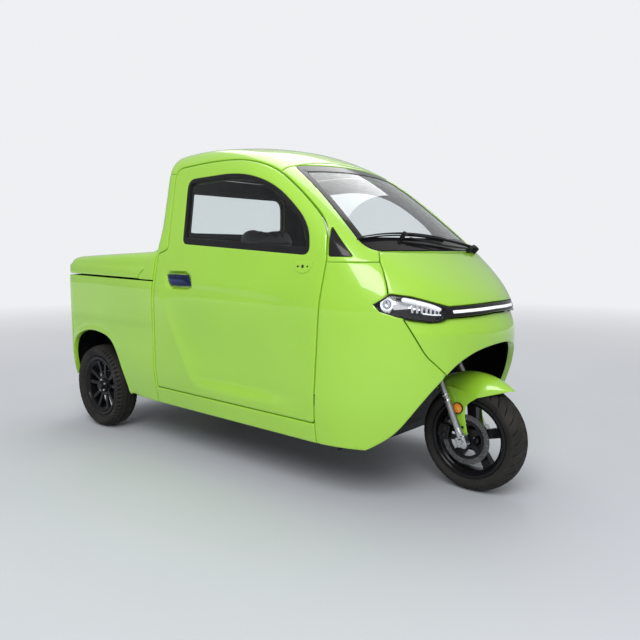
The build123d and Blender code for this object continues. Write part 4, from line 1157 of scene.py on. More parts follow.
FINISHES = {
    "paint": Coat(
        "lime_paint", (0.300, 0.590, 0.028), (0.335, 0.640, 0.036), (0.34, 0.42), 1.6, 1400.0, 0.00002,
        0.0, 1.0, 0.03,
    ),
    "inner": Coat(
        "cabin_plastic", (0.006, 0.006, 0.007), (0.011, 0.011, 0.012), (0.55, 0.68), 5.0, 900.0, 0.0003,
        specular=0.15,
    ),
    "plastic": Coat(
        "moulded_plastic", (0.007, 0.007, 0.008), (0.013, 0.013, 0.014), (0.45, 0.6), 6.0, 1100.0,
        0.0003, specular=0.22,
    ),
    "gloss": Coat(
        "piano_black", (0.006, 0.006, 0.007), (0.010, 0.010, 0.011), (0.12, 0.2), 3.0, coat=0.3,
        coat_rough=0.02, specular=0.15,
    ),
    "chassis": Coat(
        "chassis_enamel", (0.008, 0.008, 0.009), (0.018, 0.017, 0.017), (0.38, 0.6), 7.0, 260.0, 0.0004,
        specular=0.3,
    ),
    "silver": Coat(
        "satin_silver", (0.52, 0.53, 0.55), (0.66, 0.67, 0.69), (0.22, 0.34), 9.0, 800.0, 0.0001,
        metal=1.0,
    ),
    "steel": Coat(
        "brushed_steel", (0.34, 0.34, 0.35), (0.48, 0.48, 0.49), (0.25, 0.42), 30.0, 900.0, 0.0001,
        metal=1.0, stretched=(1, 6, 1),
    ),
    "disc": Coat(
        "ground_steel", (0.11, 0.11, 0.11), (0.18, 0.18, 0.18), (0.3, 0.45), 40.0, 900.0, 0.0001,
        metal=1.0,
    ),
    "tyre": Coat(
        "tyre_compound", (0.017, 0.016, 0.015), (0.034, 0.032, 0.029), (0.62, 0.85), 8.0, 500.0, 0.0004,
        specular=0.2,
    ),
    # groove: painted shade, darker rubber on the tread's groove floors where shade falls
    "groove": Coat("tread_groove_shade", (0.003, 0.003, 0.003), (0.006, 0.006, 0.006), (0.8, 0.9), specular=0.05),
    "rim": Coat(
        "wheel_lacquer", (0.005, 0.005, 0.006), (0.009, 0.009, 0.010), (0.30, 0.42), 5.0, coat=0.25,
        coat_rough=0.05, specular=0.1,
    ),
    "rubber": Coat(
        "seal_rubber", (0.005, 0.005, 0.006), (0.009, 0.009, 0.010), (0.40, 0.55), 12.0, 900.0, 0.0002,
        specular=0.25,
    ),
    "chrome": Coat(
        "dark_chrome", (0.016, 0.022, 0.045), (0.045, 0.065, 0.17), (0.04, 0.09), 4.0, metal=1.0,
    ),
    "mirror": Coat("lamp_reflector", (0.72, 0.72, 0.74), (0.82, 0.82, 0.84), (0.05, 0.14), 20.0, metal=1.0),
    "light": Coat("light_guide", (0.80, 0.82, 0.84), (0.90, 0.92, 0.94), (0.18, 0.26), 8.0, glow=0.35),
    "amber": Ribbed("amber_reflector", (0.85, 0.22, 0.01), (0.98, 0.40, 0.03), 90.0),
    "red": Ribbed("red_lens", (0.42, 0.004, 0.004), (0.62, 0.012, 0.010), 70.0),
    "window": Clear("tinted_glass", (0.82, 0.86, 0.86), 1.22),
    "screen": Clear("windscreen_glass", (0.87, 0.90, 0.91), 1.30),
    "cover": Clear("lamp_cover", (0.94, 0.95, 0.96), 1.30, (0.0, 0.01)),
    "vinyl": Hide("seat_hide", (0.020, 0.020, 0.022), (0.034, 0.034, 0.037)),
}
MADE: dict = {}


def finish(name: str) -> bpy.types.Material:
    """The material of that name, made once.

    Args:
        name: key of the finish.

    Returns:
        Its material.
    """
    if name not in MADE:
        MADE[name] = FINISHES[name].make()
    return MADE[name]


# ================================================================ cab
def stations(outline: Sequence) -> Points:
    """Outline of (distance ahead of the front axle, height) as (x, z)."""
    return np.asarray(outline, float) + (AXLE_X, 0)


@dataclass
class SideLines:
    """Outlines seen from the side, as (distance ahead of the front axle, height)."""

    door: tuple = (
        (-0.443, 0.335), (-0.397, 1.030), (-0.422, HEIGHT - 0.445), (-0.607, HEIGHT - 0.294),
        (-0.793, HEIGHT - 0.171), (-1.000, HEIGHT - 0.114), (-1.250, HEIGHT - 0.110),
        (-1.514, HEIGHT - 0.126), (-1.496, 1.075), (-1.573, 1.050), (-1.573, 0.335),
    )
    door_corners: tuple = (0.016, 0.016, 0.12, 0.12, 0.12, 0.12, 0.12, 0.06, 0.016, 0.016, 0.016)
    window: tuple = (
        (-1.373, 1.103), (-0.491, 1.048), (-0.519, HEIGHT - 0.434), (-0.749, HEIGHT - 0.255),
        (-0.996, HEIGHT - 0.181), (-1.397, HEIGHT - 0.190),
    )
    window_corners: tuple = (0.030, 0.045, 0.12, 0.15, 0.15, 0.055)
    quarter: tuple = ((-0.391, 1.042), (-0.291, 1.042), (-0.416, 1.170))
    arch: tuple = (
        (-0.311, 0.200), (-0.184, 0.270), (-0.096, 0.349), (0.006, 0.514), (0.053, 0.598),
        (0.090, 0.648), (0.119, 0.674),
    )
    split: float = 1.020        # joint of wings and screen frame
    roof_joint: float = HEIGHT - 0.150
    door_front: float = AXLE_X - 0.443
    door_foot: float = 0.335
    roof_front: float = AXLE_X - 0.758
    quarter_corner: float = 0.012

    def door_loop(self, margin: float) -> Points:
        """Door outline with soft upper corners, grown by a margin."""
        return stations(grown(rounded(self.door, self.door_corners), margin))

    def window_loop(self, margin: float) -> Points:
        """Window outline with round corners, grown by a margin."""
        return stations(grown(rounded(self.window, self.window_corners), margin))

    def quarter_loop(self) -> Points:
        """Outline of the quarter trim ahead of the door window."""
        return rounded(stations(self.quarter), self.quarter_corner)

    def door_run(self, start: Sequence, end: Sequence) -> Points:
        """Part of the door's cut line between the points nearest to two places.

        Args:
            start: (x, z) where the part begins.
            end: (x, z) where it ends, further round the line.

        Returns:
            The points of that part, (x, z).
        """
        door = self.door_loop(SHUT)
        line = stretch(np.vstack([door, door[:1]]))
        first, last = (int(np.argmin(np.hypot(*(line - place).T))) for place in (start, end))
        return np.roll(line, -first, 0)[: (last - first) % len(line) + 1]

    def door_top(self, x: float) -> float:
        """Height of the door's upper edge at x.

        Args:
            x: place along the car.

        Returns:
            The height.
        """
        door = self.door_loop(SHUT)
        upper = door[door[:, 1] > 1.2]
        upper = upper[np.argsort(upper[:, 0])]
        return float(np.interp(x, upper[:, 0], upper[:, 1]))


LINES = SideLines()


def on_side(outline: Points) -> Points:
    """Closed outline of (x, z) laid on the cab's right side."""
    return CAB.side(stretch(outline, closed=True), -1)


@dataclass
class Door:
    """One cab door: skin with its recess and crease, seals, glass, handle and mirror pad."""

    side: str
    sign: int
    crease: tuple = ((-0.30, 0.914), (0.14, 0.895), (0.41, 0.879), (0.77, 0.853))
    ridge: tuple = ((-0.295, 0.729), (-0.095, 0.386))
    recess_depth: float = 0.020
    closing: tuple = (0.372, 0.440)     # heights between which the recess runs out
    skin_t: float = 0.028
    seal_in: float = 0.022
    belt: tuple = ((-0.215, 0.667), (1.165, 1.11))
    handle_at: tuple = (AXLE_X - 1.374, 0.917)
    handle_lean: float = 0.38
    pad_at: tuple = (AXLE_X - 0.518, 1.005)

    def relief(self, p: Points) -> Points:
        """Recess below the crease and ahead of the diagonal ridge, closing above the flare.

        Args:
            p: places in space, one a row.

        Returns:
            How far each moves along its normal.
        """
        x, z = p[:, 0], p[:, 2]
        line = np.interp(x, *np.asarray(self.crease).T)
        (x0, z0), (x1, z1) = self.ridge
        ahead = ((x - x0) * (z0 - z1) + (z - z0) * (x1 - x0)) / math.hypot(x1 - x0, z0 - z1)
        scoop = (1 - np.exp(-np.maximum(ahead, 0) / 0.07)) * step(x, 0.70, 0.30)
        depth = 0.25 * step(z, line + 0.004, line - 0.03) + 0.75 * step(z, line - 0.03, 0.50)
        return -self.recess_depth * depth * step(z, *self.closing) * scoop - self.handle_cup(p)

    def handle_cup(self, p: Points) -> Points:
        """Dished pocket behind the pull handle.

        Args:
            p: places in space, one a row.

        Returns:
            How far each sinks.
        """
        v = p[:, 2] - self.handle_at[1]
        u = p[:, 0] - self.handle_at[0] + self.handle_lean * v
        return 0.016 * step(((u / 0.112) ** 4 + (v / 0.046) ** 4) ** 0.25, 1.0, 0.80)

    def skin(self) -> Piece:
        """Painted door with a dark inner trim.

        Returns:
            The skin.
        """
        outline, window = on_side(LINES.door_loop(-SHUT)), on_side(LINES.window_loop(0.001))
        panel = Panel(
            f"door_skin_{self.side}", CAB_SIDE, outline, [window], thickness=self.skin_t, relief=self.relief,
            spacing=0.012,
        )
        return panel.build(("paint", "inner"), self.sign)

    def seal(self) -> Piece:
        """Rubber round the window, wider along the belt.

        Returns:
            The seal.
        """
        inner = LINES.window_loop(-self.seal_in)
        inner[inner[:, 1] < np.interp(inner[:, 0], *self.belt), 1] += 0.010
        panel = Panel(
            f"window_seal_{self.side}", CAB_SIDE, on_side(LINES.window_loop(0.004)), [on_side(inner)],
            thickness=0.031, inset=0.0004, roll=0.006, spacing=0.02,
        )
        return panel.build(("rubber",), self.sign)

    def glass(self) -> Piece:
        """Tinted pane under the seal.

        Returns:
            The pane.
        """
        outline = on_side(LINES.window_loop(-0.006))
        panel = Panel(f"door_pane_{self.side}", CAB_SIDE, outline, [], 0.005, 0.008, 0.0008, 0.05)
        return panel.build(("window",), self.sign)

    def handle(self) -> Piece:
        """Pull handle: a chromed bar with slanted ends over its pocket.

        Returns:
            The handle.
        """
        x, z = self.handle_at
        y = float(CAB.side([(x, z)], -1)[0, 1])
        t = np.linspace(-1, 1, 25)[:, None]
        a = np.linspace(0, 2 * np.pi, 24, endpoint=False)
        rise = 0.0300 * (1 - 0.12 * t**2) * np.sign(np.sin(a)) * np.abs(np.sin(a)) ** 0.8
        out = 0.0075 * np.cos(a) * (1 - 0.9 * np.abs(t) ** 10)
        px = x + 0.092 * t - self.handle_lean * rise
        py = y + 0.0035 - out + 0.006 * t**6
        points = np.stack([px, py, z + rise], -1).reshape(-1, 3)
        faces = grid_faces(25, 24, False, True) + [list(range(24)), list(range(576, 600))]
        foot = [block((0.016, 0.022, 0.018), (x + e * 0.078, y + 0.013, z), power=0.3) for e in (-1, 1)]
        return assembled(f"pull_handle_{self.side}", [(points, faces), *foot], "chrome", self.sign)

    def pad(self) -> Piece:
        """Mirror mounting pad: a half ellipse with a flat top, proud of the skin, two slots.

        Returns:
            The pad.
        """
        x, z = self.pad_at
        a = np.linspace(np.pi, 2 * np.pi, 28)
        outline = np.vstack([
            np.stack([0.052 * np.cos(a), 0.040 * np.sin(a)], 1),
            ((0.052, 0.006), (0.046, 0.012), (-0.046, 0.012), (-0.052, 0.006)),
        ]) + (x, z + 0.006)
        holes = [
            circle(r, 18) * (w, 1) + (x + dx, z - 0.006)
            for dx, r, w in ((-0.026, 0.0035, 1.6), (0.026, 0.0035, 1.6), (0.0, 0.0065, 1.0))
        ]
        panel = Panel(
            f"mirror_pad_{self.side}", CAB_SIDE, CAB.side(outline, -1), [CAB.side(h, -1) for h in holes],
            thickness=0.012, inset=-0.0035, roll=0.0016, spacing=0.006,
        )
        return panel.build(("paint",), self.sign)

    def hole_shade(self) -> Piece:
        """Dark rubber discs in the mirror pad's screw holes: painted shade that stands for the dark depth of
        the holes.

        Returns:
            The discs of painted shade.
        """
        x, z = self.pad_at
        parts = []
        for dx, radius in ((-0.028, 0.0042), (0.028, 0.0042), (0.0, 0.0075)):
            place = CAB.side([(x + dx, z - 0.006)], -1)[0] - (0, 0.0022, 0)
            profile = [(0.0003, -0.003), (radius, -0.003), (radius, 0.0012), (0.0003, 0.0018)]
            parts.append(lathe(profile, place, (0, -1, 0), 20))
        return assembled(f"pad_hole_shade_{self.side}", parts, "rubber", self.sign)

    def build(self) -> None:
        """All of the door's pieces on its body."""
        body = f"door_{self.side}"
        settle(self.skin(), body, Finish.PAINT, [f"door_{self.side}"])
        settle(self.seal(), body, Finish.RUBBER)
        settle(self.glass(), body, Finish.GLASS, [f"door_glass_{self.side}"])
        settle(self.handle(), body, Finish.CHROME, [f"handle_{self.side}"])
        settle(self.pad(), body, Finish.PAINT)
        # dark discs of painted shade in the pad's screw holes
        settle(self.hole_shade(), body, Finish.RUBBER)


@dataclass
class Cab:
    """Fixed panels of the cab: roof, rear wall, screen frame, bonnet, nose, wings, sills."""

    screen: tuple = ((0.462, 1.066), (0.366, HEIGHT - 0.160))
    screen_top: float = HEIGHT - 0.142
    screen_corner: float = 0.07
    bonnet_side: tuple = ((0.408, 1.062), (0.420, 1.050), (0.441, 1.020), (0.459, 0.961), (0.474, 0.895))
    bonnet_top: float = 1.058
    lamp_top: tuple = (
        (0.474, 0.895), (0.409, 0.884), (0.349, 0.863), (0.282, 0.842), (0.116, 0.846), (0.0, 0.848),
    )
    lamp_low: tuple = (
        (0.0, 0.808), (0.188, 0.801), (0.291, 0.798), (0.324, 0.784), (0.364, 0.780),
        (0.415, 0.788), (0.447, 0.797), (0.465, 0.803), (0.503, 0.823), (0.515, 0.853), (0.474, 0.895),
    )
    nose_side: tuple = ((0.447, 0.797), (0.414, 0.722), (0.379, 0.649), (0.344, 0.607), (0.301, 0.560))
    crease_z: float = 0.730     # edge of the shoulder under the lamps
    rear_turn: float = -0.2     # x of the upright line that the rear seams turn about
    fore_turn: float = 0.45     # x of the one that the seams beside the bonnet turn about
    roof_fan: float = 1.2       # height of the line that the roof's seam turns about
    rear_post: float = -0.36    # x of the door's rear edge

    def screen_loop(self, margin: float) -> Points:
        """Windscreen outline, (y, z), grown by a margin.

        Args:
            margin: how far it moves outward, negative for inward.

        Returns:
            The closed outline.
        """
        (low_y, low_z), (high_y, high_z) = self.screen
        t = np.linspace(0, 1, 9)[1:]
        top = np.stack([high_y * (1 - t), high_z + (self.screen_top - high_z) * (1 - (1 - t) ** 2)], 1)
        low, high = [(-low_y, low_z), (low_y, low_z)], [(high_y, high_z), *top]
        loop = np.vstack([low, high, (top * (-1, 1))[::-1][1:], (-high_y, high_z)])
        return grown(rounded(loop, self.screen_corner), margin)

    def arch_line(self, margin: float = 0.0) -> Points:
        """Front wheel opening seen from the side, from its low rear end to the nose tip.

        Args:
            margin: how far it moves outward, negative for inward.

        Returns:
            The line, (x, z).
        """
        line = smooth_path(stations(LINES.arch), 6)
        along = unit(np.gradient(line, axis=0))
        return line + np.stack([-along[:, 1], along[:, 0]], 1) * margin

    def arch_on_nose(self, y: Points) -> Points:
        """Heights of the wheel opening where the round nose crosses it, for given y.

        Args:
            y: places across the car.

        Returns:
            The height at each.
        """
        x = CAB.nose_tip - CAB.nose_r + np.sqrt(np.maximum(CAB.nose_r**2 - y * y, 0))
        line = self.arch_line()
        return np.interp(x, line[:, 0], line[:, 1])

    def roof(self) -> Piece:
        """Roof with its rolled sides, down to the joint above the doors.

        Returns:
            The roof.
        """
        joint = LINES.roof_joint + SEAM
        front_x = LINES.roof_front - SEAM
        top = LINES.door_run((front_x, LINES.door_top(front_x)), (self.rear_post, joint))
        side = CAB.side(top, -1)
        front = CAB.fan(front_x, self.roof_fan, side[0])
        rear_corner = CAB.level(side[-1], self.rear_middle(joint), self.rear_turn, 40)
        loop = mirrored(front[:-1], side, rear_corner[1:])
        return Panel("roof_skin", CAB_ROOF, loop).build(("paint", "inner"))

    def rear_middle(self, z: float) -> Points:
        """Place in the middle of the cab's rear at a height."""
        return CAB.front([(0.0, z)], self.rear_turn, -1)[0]

    def rear_wall(self) -> Piece:
        """Rear wall with its pillars and the rear window's opening.

        Returns:
            The rear wall.
        """
        joint = LINES.roof_joint - SEAM
        rear_x = LINES.door_loop(SHUT)[:, 0].min()
        edge = LINES.door_run((self.rear_post, joint), (rear_x, 0.36))
        side = CAB.side(stretch(np.vstack([edge, (rear_x, PANEL_FOOT)])), -1)
        low = CAB.level(side[-1], self.rear_middle(PANEL_FOOT), self.rear_turn, 40)
        top = CAB.level(self.rear_middle(joint), side[0], self.rear_turn, 40)
        loop = mirrored(top, side[1:], low[1:])
        panel = Panel("cab_rear_wall", CAB_REAR, loop, [self.rear_window_loop(0.0)])
        return panel.build(("paint", "inner"))

    def rear_window_loop(self, margin: float) -> Points:
        """Rounded rectangle on the rear wall.

        Args:
            margin: how far it moves outward, negative for inward.

        Returns:
            The closed outline on the skin.
        """
        low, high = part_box("rear_window")
        y, z0, z1 = high.y + margin, low.z - margin, high.z + margin
        flat = rounded([(-y, z0), (y, z0), (y, z1), (-y, z1)], 0.06)
        return CAB.front(stretch(flat, closed=True), self.rear_turn, -1)

    def screen_frame(self) -> Piece:
        """Painted frame round the windscreen, from the roof joint to the wings and bonnet.

        Returns:
            The frame.
        """
        front_x = LINES.roof_front + SEAM
        low_end = (LINES.door_loop(SHUT)[:, 0].max(), LINES.split + SEAM)
        side = CAB.side(LINES.door_run(low_end, (front_x, LINES.door_top(front_x))), -1)
        top = CAB.fan(front_x, self.roof_fan, side[-1])[::-1]
        flank = stretch(self.bonnet_side[:3]) + (SEAM, 0)
        flank[-1, 1] += SEAM
        flank = CAB.front(flank * (-1, 1))
        low = CAB.level(flank[-1], side[0], self.fore_turn, 26)
        y = np.linspace(0, -self.bonnet_side[0][0] - SEAM, 40)
        cowl = CAB.front(np.stack([y, self.cowl_height(y) + SEAM], 1))
        loop = mirrored(cowl[:-1], flank, low[1:], side[1:], top[1:])
        quarter = stretch(LINES.quarter_loop(), closed=True)
        screen = CAB.front(stretch(self.screen_loop(0.001), closed=True))
        holes = [screen, CAB.side(quarter, -1), CAB.side(quarter, 1)]
        return Panel("windscreen_frame", CAB_SCREEN, loop, holes).build(("paint", "inner"))

    def cowl_height(self, y: Points) -> Points:
        """Height of the bonnet's rear seam across the car: a shallow arch."""
        side_y, side_z = self.bonnet_side[0]
        return self.bonnet_top - (self.bonnet_top - side_z) * (y / side_y) ** 2

    def bonnet(self) -> Piece:
        """Bonnet between windscreen, wings and lamps.

        Returns:
            The bonnet.
        """
        side_y = self.bonnet_side[0][0]
        y = np.linspace(0, side_y - SEAM, 40)
        cowl = CAB.front(np.stack([y, self.cowl_height(y) - SEAM], 1))
        side = CAB.front(stretch(self.bonnet_side) - (SEAM, 0))
        low = CAB.front(stretch(self.lamp_top) + (0, SEAM))
        loop = mirrored(cowl[:-1], side, low[1:])
        return Panel("bonnet_skin", CAB_BONNET, loop).build(("paint", "inner"))

    def nose_line(self, margin: float) -> Points:
        """Seam between nose and wing down to the wheel opening, (y, z), moved by a margin."""
        line = smooth_path(self.nose_side, 8) + (margin, 0)
        return line[:int(np.argmax(line[:, 1] < self.arch_on_nose(line[:, 0])))]

    def nose_relief(self, p: Points) -> Points:
        """Soft shoulder under the lamps: the skin falls back above a crease."""
        return -0.017 * np.clip((p[:, 2] - self.crease_z) / 0.065, 0, 1)

    def nose(self) -> Piece:
        """Nose panel under the lamps, over the wheel opening.

        Returns:
            The nose panel.
        """
        low_line = [p for p in self.lamp_low if p[0] <= 0.447]
        top = CAB.front(stretch(low_line) - (0, SEAM))
        side = self.nose_line(-SEAM)
        y = np.linspace(side[-1, 0], 0, 30)
        arch = CAB.front(np.stack([y, self.arch_on_nose(y)], 1))
        loop = mirrored(top[:-1], CAB.front(side), arch)
        panel = Panel("nose_skin", CAB_NOSE, loop, relief=self.nose_relief, spacing=0.010)
        return panel.build(("paint", "plastic"))

    def wing(self, name: str, sign: int) -> Piece:
        """Wing from the door to the nose, with the lamp's end, down to the sill.

        Args:
            name: name of the piece.
            sign: -1 on the right, +1 mirrored on the left.

        Returns:
            The wing.
        """
        split = LINES.split - SEAM
        low_x = LINES.door_front + SEAM
        edge = LINES.door_run((low_x, 0.35), (LINES.door_loop(SHUT)[:, 0].max(), split))
        rear = CAB.side(stretch(np.vstack([(low_x, PANEL_FOOT), (low_x, 0.325), edge])), -1)
        seam = CAB.front([(-self.bonnet_side[2][0] - SEAM, split)])[0]
        top = CAB.level(rear[-1], seam, self.fore_turn, 26)
        bonnet = CAB.front((stretch(self.bonnet_side[2:])[1:] + (SEAM, 0)) * (-1, 1))
        lamp = np.asarray(self.lamp_low)[6:][::-1]
        lamp = CAB.front(grown_open(stretch(lamp), SEAM) * (-1, 1))
        nose = CAB.front(self.nose_line(SEAM)[1:] * (-1, 1))
        arch = self.arch_line()
        arch = arch[(arch[:, 0] < nose[-1, 0] - 0.002) & (arch[:, 1] > PANEL_FOOT)][::-1]
        low = CAB.side(stretch([(arch[-1, 0], PANEL_FOOT), (low_x, PANEL_FOOT)], 0.02)[1:-1], -1)
        loop = np.vstack([rear, top[1:], bonnet, lamp, nose, CAB.side(stretch(arch), -1), low])
        return Panel(name, CAB_WING, loop).build(("paint", "plastic"), sign)

    def sill(self, name: str, sign: int) -> Piece:
        """Rolled sill under a door, from the bed to the wing.

        Args:
            name: name of the piece.
            sign: -1 on the right, +1 mirrored on the left.

        Returns:
            The sill.
        """
        front_x, rear_x = LINES.door_front - SEAM, CAB_REAR_X + 0.002
        top_z = LINES.door_foot - SHUT
        corners = [(rear_x, top_z), (front_x, top_z), (front_x, PANEL_FOOT), (rear_x, PANEL_FOOT)]
        return Panel(name, CAB_SIDE, on_side(corners)).build(("paint", "plastic"), sign)

    def build(self) -> None:
        """All fixed cab panels."""
        settle(self.roof(), "body", Finish.PAINT, ["roof"])
        settle(self.rear_wall(), "body", Finish.PAINT, ["cab_rear"])
        settle(self.screen_frame(), "body", Finish.PAINT, ["screen_frame"])
        settle(self.bonnet(), "body", Finish.PAINT, ["bonnet"])
        settle(self.nose(), "body", Finish.PAINT, ["nose_panel"])
        for side, sign in SIDES:
            settle(self.wing(f"wing_skin_{side}", sign), "body", Finish.PAINT, [f"wing_{side}"])
            sill = settle(self.sill(f"sill_{side}", sign), "body", Finish.PAINT)
        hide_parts("sills")


def grown_open(line: Points, margin: float) -> Points:
    """Open flat line moved to the right of its travel by a margin."""
    along = unit(np.gradient(np.asarray(line), axis=0))
    return line + np.stack([along[:, 1], -along[:, 0]], 1) * margin


# ================================================================ glass of the cab
@dataclass
class CabGlass:
    """Windscreen with its dark border, rear window with its seal, quarter trims."""

    cab: Cab
    border: float = 0.030

    def windscreen(self) -> Piece:
        """Glass a little below the painted frame.

        Returns:
            The windscreen.
        """
        loop = CAB.front(stretch(self.cab.screen_loop(-0.002), closed=True))
        panel = Panel("windscreen_glass", CAB_SCREEN, loop, [], 0.005, 0.005, 0.001, 0.04)
        return panel.build(("screen",))

    def border_band(self) -> Piece:
        """Dark band printed round the windscreen, wider along the bottom.

        Returns:
            The band.
        """
        outer = self.cab.screen_loop(-0.0005)
        inner = self.cab.screen_loop(-self.border)
        inner[:, 1] = np.maximum(inner[:, 1], 1.066 + 1.9 * self.border)
        loops = [CAB.front(stretch(loop, closed=True)) for loop in (outer, inner)]
        panel = Panel("windscreen_border", CAB_SCREEN, loops[0], loops[1:], 0.0035, 0.0028, 0.0012, 0.02)
        return panel.build(("gloss",))

    def rear_window(self) -> tuple[Piece, Piece]:
        """Rear pane and its rubber.

        Returns:
            The pane and its rubber.
        """
        edge, outer, inner = (self.cab.rear_window_loop(margin) for margin in (-0.004, 0.006, -0.018))
        pane = Panel("rear_pane", CAB_REAR, edge, [], 0.005, 0.010, 0.001, 0.05)
        seal = Panel("rear_window_seal", CAB_REAR, outer, [inner], 0.018, -0.002, 0.005, 0.02)
        return pane.build(("window",)), seal.build(("rubber",))

    def quarter(self, name: str, sign: int) -> Piece:
        """Gloss black triangle ahead of the door window."""
        loop = on_side(grown(LINES.quarter_loop(), -0.0012))
        return Panel(name, CAB_SIDE, loop, [], 0.012, 0.002, 0.002, 0.012).build(("gloss",), sign)

    def build(self) -> None:
        """All of the cab's glass."""
        settle(self.windscreen(), "body", Finish.GLASS, ["windscreen"])
        settle(self.border_band(), "body", Finish.GLOSS)
        pane, seal = self.rear_window()
        settle(pane, "body", Finish.GLASS, ["rear_window"])
        settle(seal, "body", Finish.RUBBER)
        for side, sign in SIDES:
            trim = settle(self.quarter(f"quarter_trim_{side}", sign), "body", Finish.GLOSS)
        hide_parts("quarter_trims")


# ================================================================ cargo bed
@dataclass
class CargoBed:
    """Bed sides, tail panel, deck strip and lid, with tail lamps and a plain plate."""

    gap_front: float = 0.910
    gap_tail: float = 0.928
    gap: float = 0.010
    hinge_x: float = CAB_REAR_X - 0.1246
    tail_panel_x: float = TAIL_X + 0.080
    opening: tuple = (
        (-0.270, PANEL_FOOT), (-0.268, 0.340), (-0.252, 0.470), (-0.200, 0.545), (-0.070, 0.588),
        (0.080, 0.584), (0.190, 0.545), (0.270, 0.440), (0.318, 0.330), (0.342, PANEL_FOOT),
    )
    lip: float = 0.004          # how far the wheel opening's lip flares
    ledge: float = 0.058        # height of the step on the lid's sides above the gap
    tail_foot: float = 0.312
    tail_turn: float = -1.1     # x of the upright line that the tail's seams turn about
    lamp_z: tuple = (0.735, 0.880)
    lamp_in: float = 0.130
    front_x: float = CAB_REAR_X - 0.002
    foot_steps: tuple = (
        (-0.014, 0.0), (-0.008, 0.020), (0.020, 0.042), (0.036, 0.060), (0.050, 0.100), (0.062, 0.125),
    )

    def gap_line(self, x: Points, margin: float) -> Points:
        """Height of the gap under the lid at x, moved up by a margin."""
        return self.gap_front + (CAB_REAR_X - x) / BED.length * (self.gap_tail - self.gap_front) + margin

    def lid_relief(self, p: Points) -> Points:
        """The lid's rim stands proud below a soft step on its sides."""
        above = p[:, 2] - self.gap_line(p[:, 0], self.ledge)
        return -0.0090 * step(above, -0.004, 0.006)

    def side_relief(self, p: Points) -> Points:
        """Faint belly line and a lip that flares round the wheel opening.

        Args:
            p: places in space, one a row.

        Returns:
            How far each moves along its normal.
        """
        fall = -0.004 * step(p[:, 2], 0.685, 0.640) * step(p[:, 2], 0.46, 0.60)
        arch = self.arch()
        out = gap_to(p[:, (0, 2)], [np.vstack([arch, arch[::-1]])])
        return np.minimum(fall + self.lip * step(out, 0.034, 0.008), HALF - np.abs(p[:, 1]))

    def arch(self) -> Points:
        """Rear wheel opening seen from the side, from its rear foot to its front foot."""
        return smooth_path(self.opening, 6) + (REAR_AXLE_X, 0)

    def side(self, name: str, sign: int) -> Piece:
        """Bed side with its wheel opening.

        Args:
            name: name of the piece.
            sign: -1 on the right, +1 mirrored on the left.

        Returns:
            The bed side.
        """
        front, rear = self.front_x, self.tail_panel_x + SEAM
        front_top, rear_top = (self.gap_line(x, -self.gap / 2) for x in (front, rear))
        corners = [(front, PANEL_FOOT), (front, front_top), (rear, rear_top), (rear, 0.290)]
        outline = np.vstack([self.arch(), corners])
        outline = outline[outline[:, 0] > rear - 1e-6]
        loop = BED.side(stretch(outline, closed=True), -1)
        return Panel(name, BED_SIDE, loop, relief=self.side_relief).build(("paint", "plastic"), sign)

    def tail(self) -> Piece:
        """Tail panel, round its corners to the bed sides, with openings for the lamps.

        Returns:
            The tail panel.
        """
        x = self.tail_panel_x - SEAM
        top = self.gap_line(x, -self.gap / 2)
        side = BED.side(stretch([(x, top), (x, self.tail_foot)]), -1)
        upper = BED.level(self.rear_middle(top), side[0], self.tail_turn, 50)
        lower = BED.level(side[-1], self.rear_middle(self.tail_foot), self.tail_turn, 50)
        loop = mirrored(upper, side[1:-1], lower)
        holes = [self.lamp_loop(0.0), self.lamp_loop(0.0) * (1, -1, 1)]
        return Panel("tail_skin", BED_TAIL, loop, holes).build(("paint", "plastic"))

    def rear_middle(self, z: float) -> Points:
        """Place in the middle of the tail at a height."""
        return BED.front([(0.0, z)], -1.0, -1)[0]

    def lamp_loop(self, margin: float) -> Points:
        """Outline of the right tail lamp: it wraps the corner.

        Args:
            margin: how far it moves outward, negative for inward.

        Returns:
            The closed outline on the skin.
        """
        z0, z1 = self.lamp_z[0] - margin, self.lamp_z[1] + margin
        inner = BED.front([(-HALF + self.lamp_in - margin, z1)], -1.0, -1)[0]
        outer = BED.side([(self.tail_panel_x - 0.022 + margin, z1)], -1)[0]
        upper = BED.level(inner, outer, self.tail_turn, 16)
        lower = upper[::-1] * (1, 1, 0) + (0, 0, z0)
        posts = np.linspace(z1, z0, 14)[1:-1, None]
        right = np.hstack([np.repeat(upper[-1:, :2], 12, 0), posts])
        left = np.hstack([np.repeat(upper[:1, :2], 12, 0), posts[::-1]])
        return np.vstack([upper, right, lower, left])

    def tail_lamp(self, name: str, sign: int) -> Piece:
        """Red lens, proud of the skin."""
        panel = Panel(name, BED_TAIL, self.lamp_loop(-0.003), [], 0.024, 0.0028, 0.006, 0.012)
        return panel.build(("red", "plastic"), sign)

    def reversing_lamp(self, name: str, sign: int) -> Piece:
        """Clear insert across the middle of a tail lamp.

        Args:
            name: name of the piece.
            sign: -1 on the right, +1 mirrored on the left.

        Returns:
            The insert.
        """
        y0, y1 = HALF - self.lamp_in + 0.008, HALF - 0.085
        z = sum(self.lamp_z) / 2
        flat = rounded([(-y1, z - 0.02), (-y0, z - 0.02), (-y0, z + 0.02), (-y1, z + 0.02)], 0.008)
        loop = BED.front(stretch(flat, closed=True), -1.0, -1)
        return Panel(name, BED_TAIL, loop, [], 0.006, 0.0008, 0.002, 0.008).build(("light",), sign)

    def strip_seam(self, margin: float) -> Points:
        """Front edge of the lid seen from the side, from its foot up, moved by a margin.

        Args:
            margin: how far it moves ahead.

        Returns:
            The seam, (x, z).
        """
        x = self.hinge_x
        foot = self.gap_line(x + self.foot_steps[0][0], self.gap / 2)
        return smooth_path(np.asarray(self.foot_steps) + (x, foot), 5) + (margin, 0)

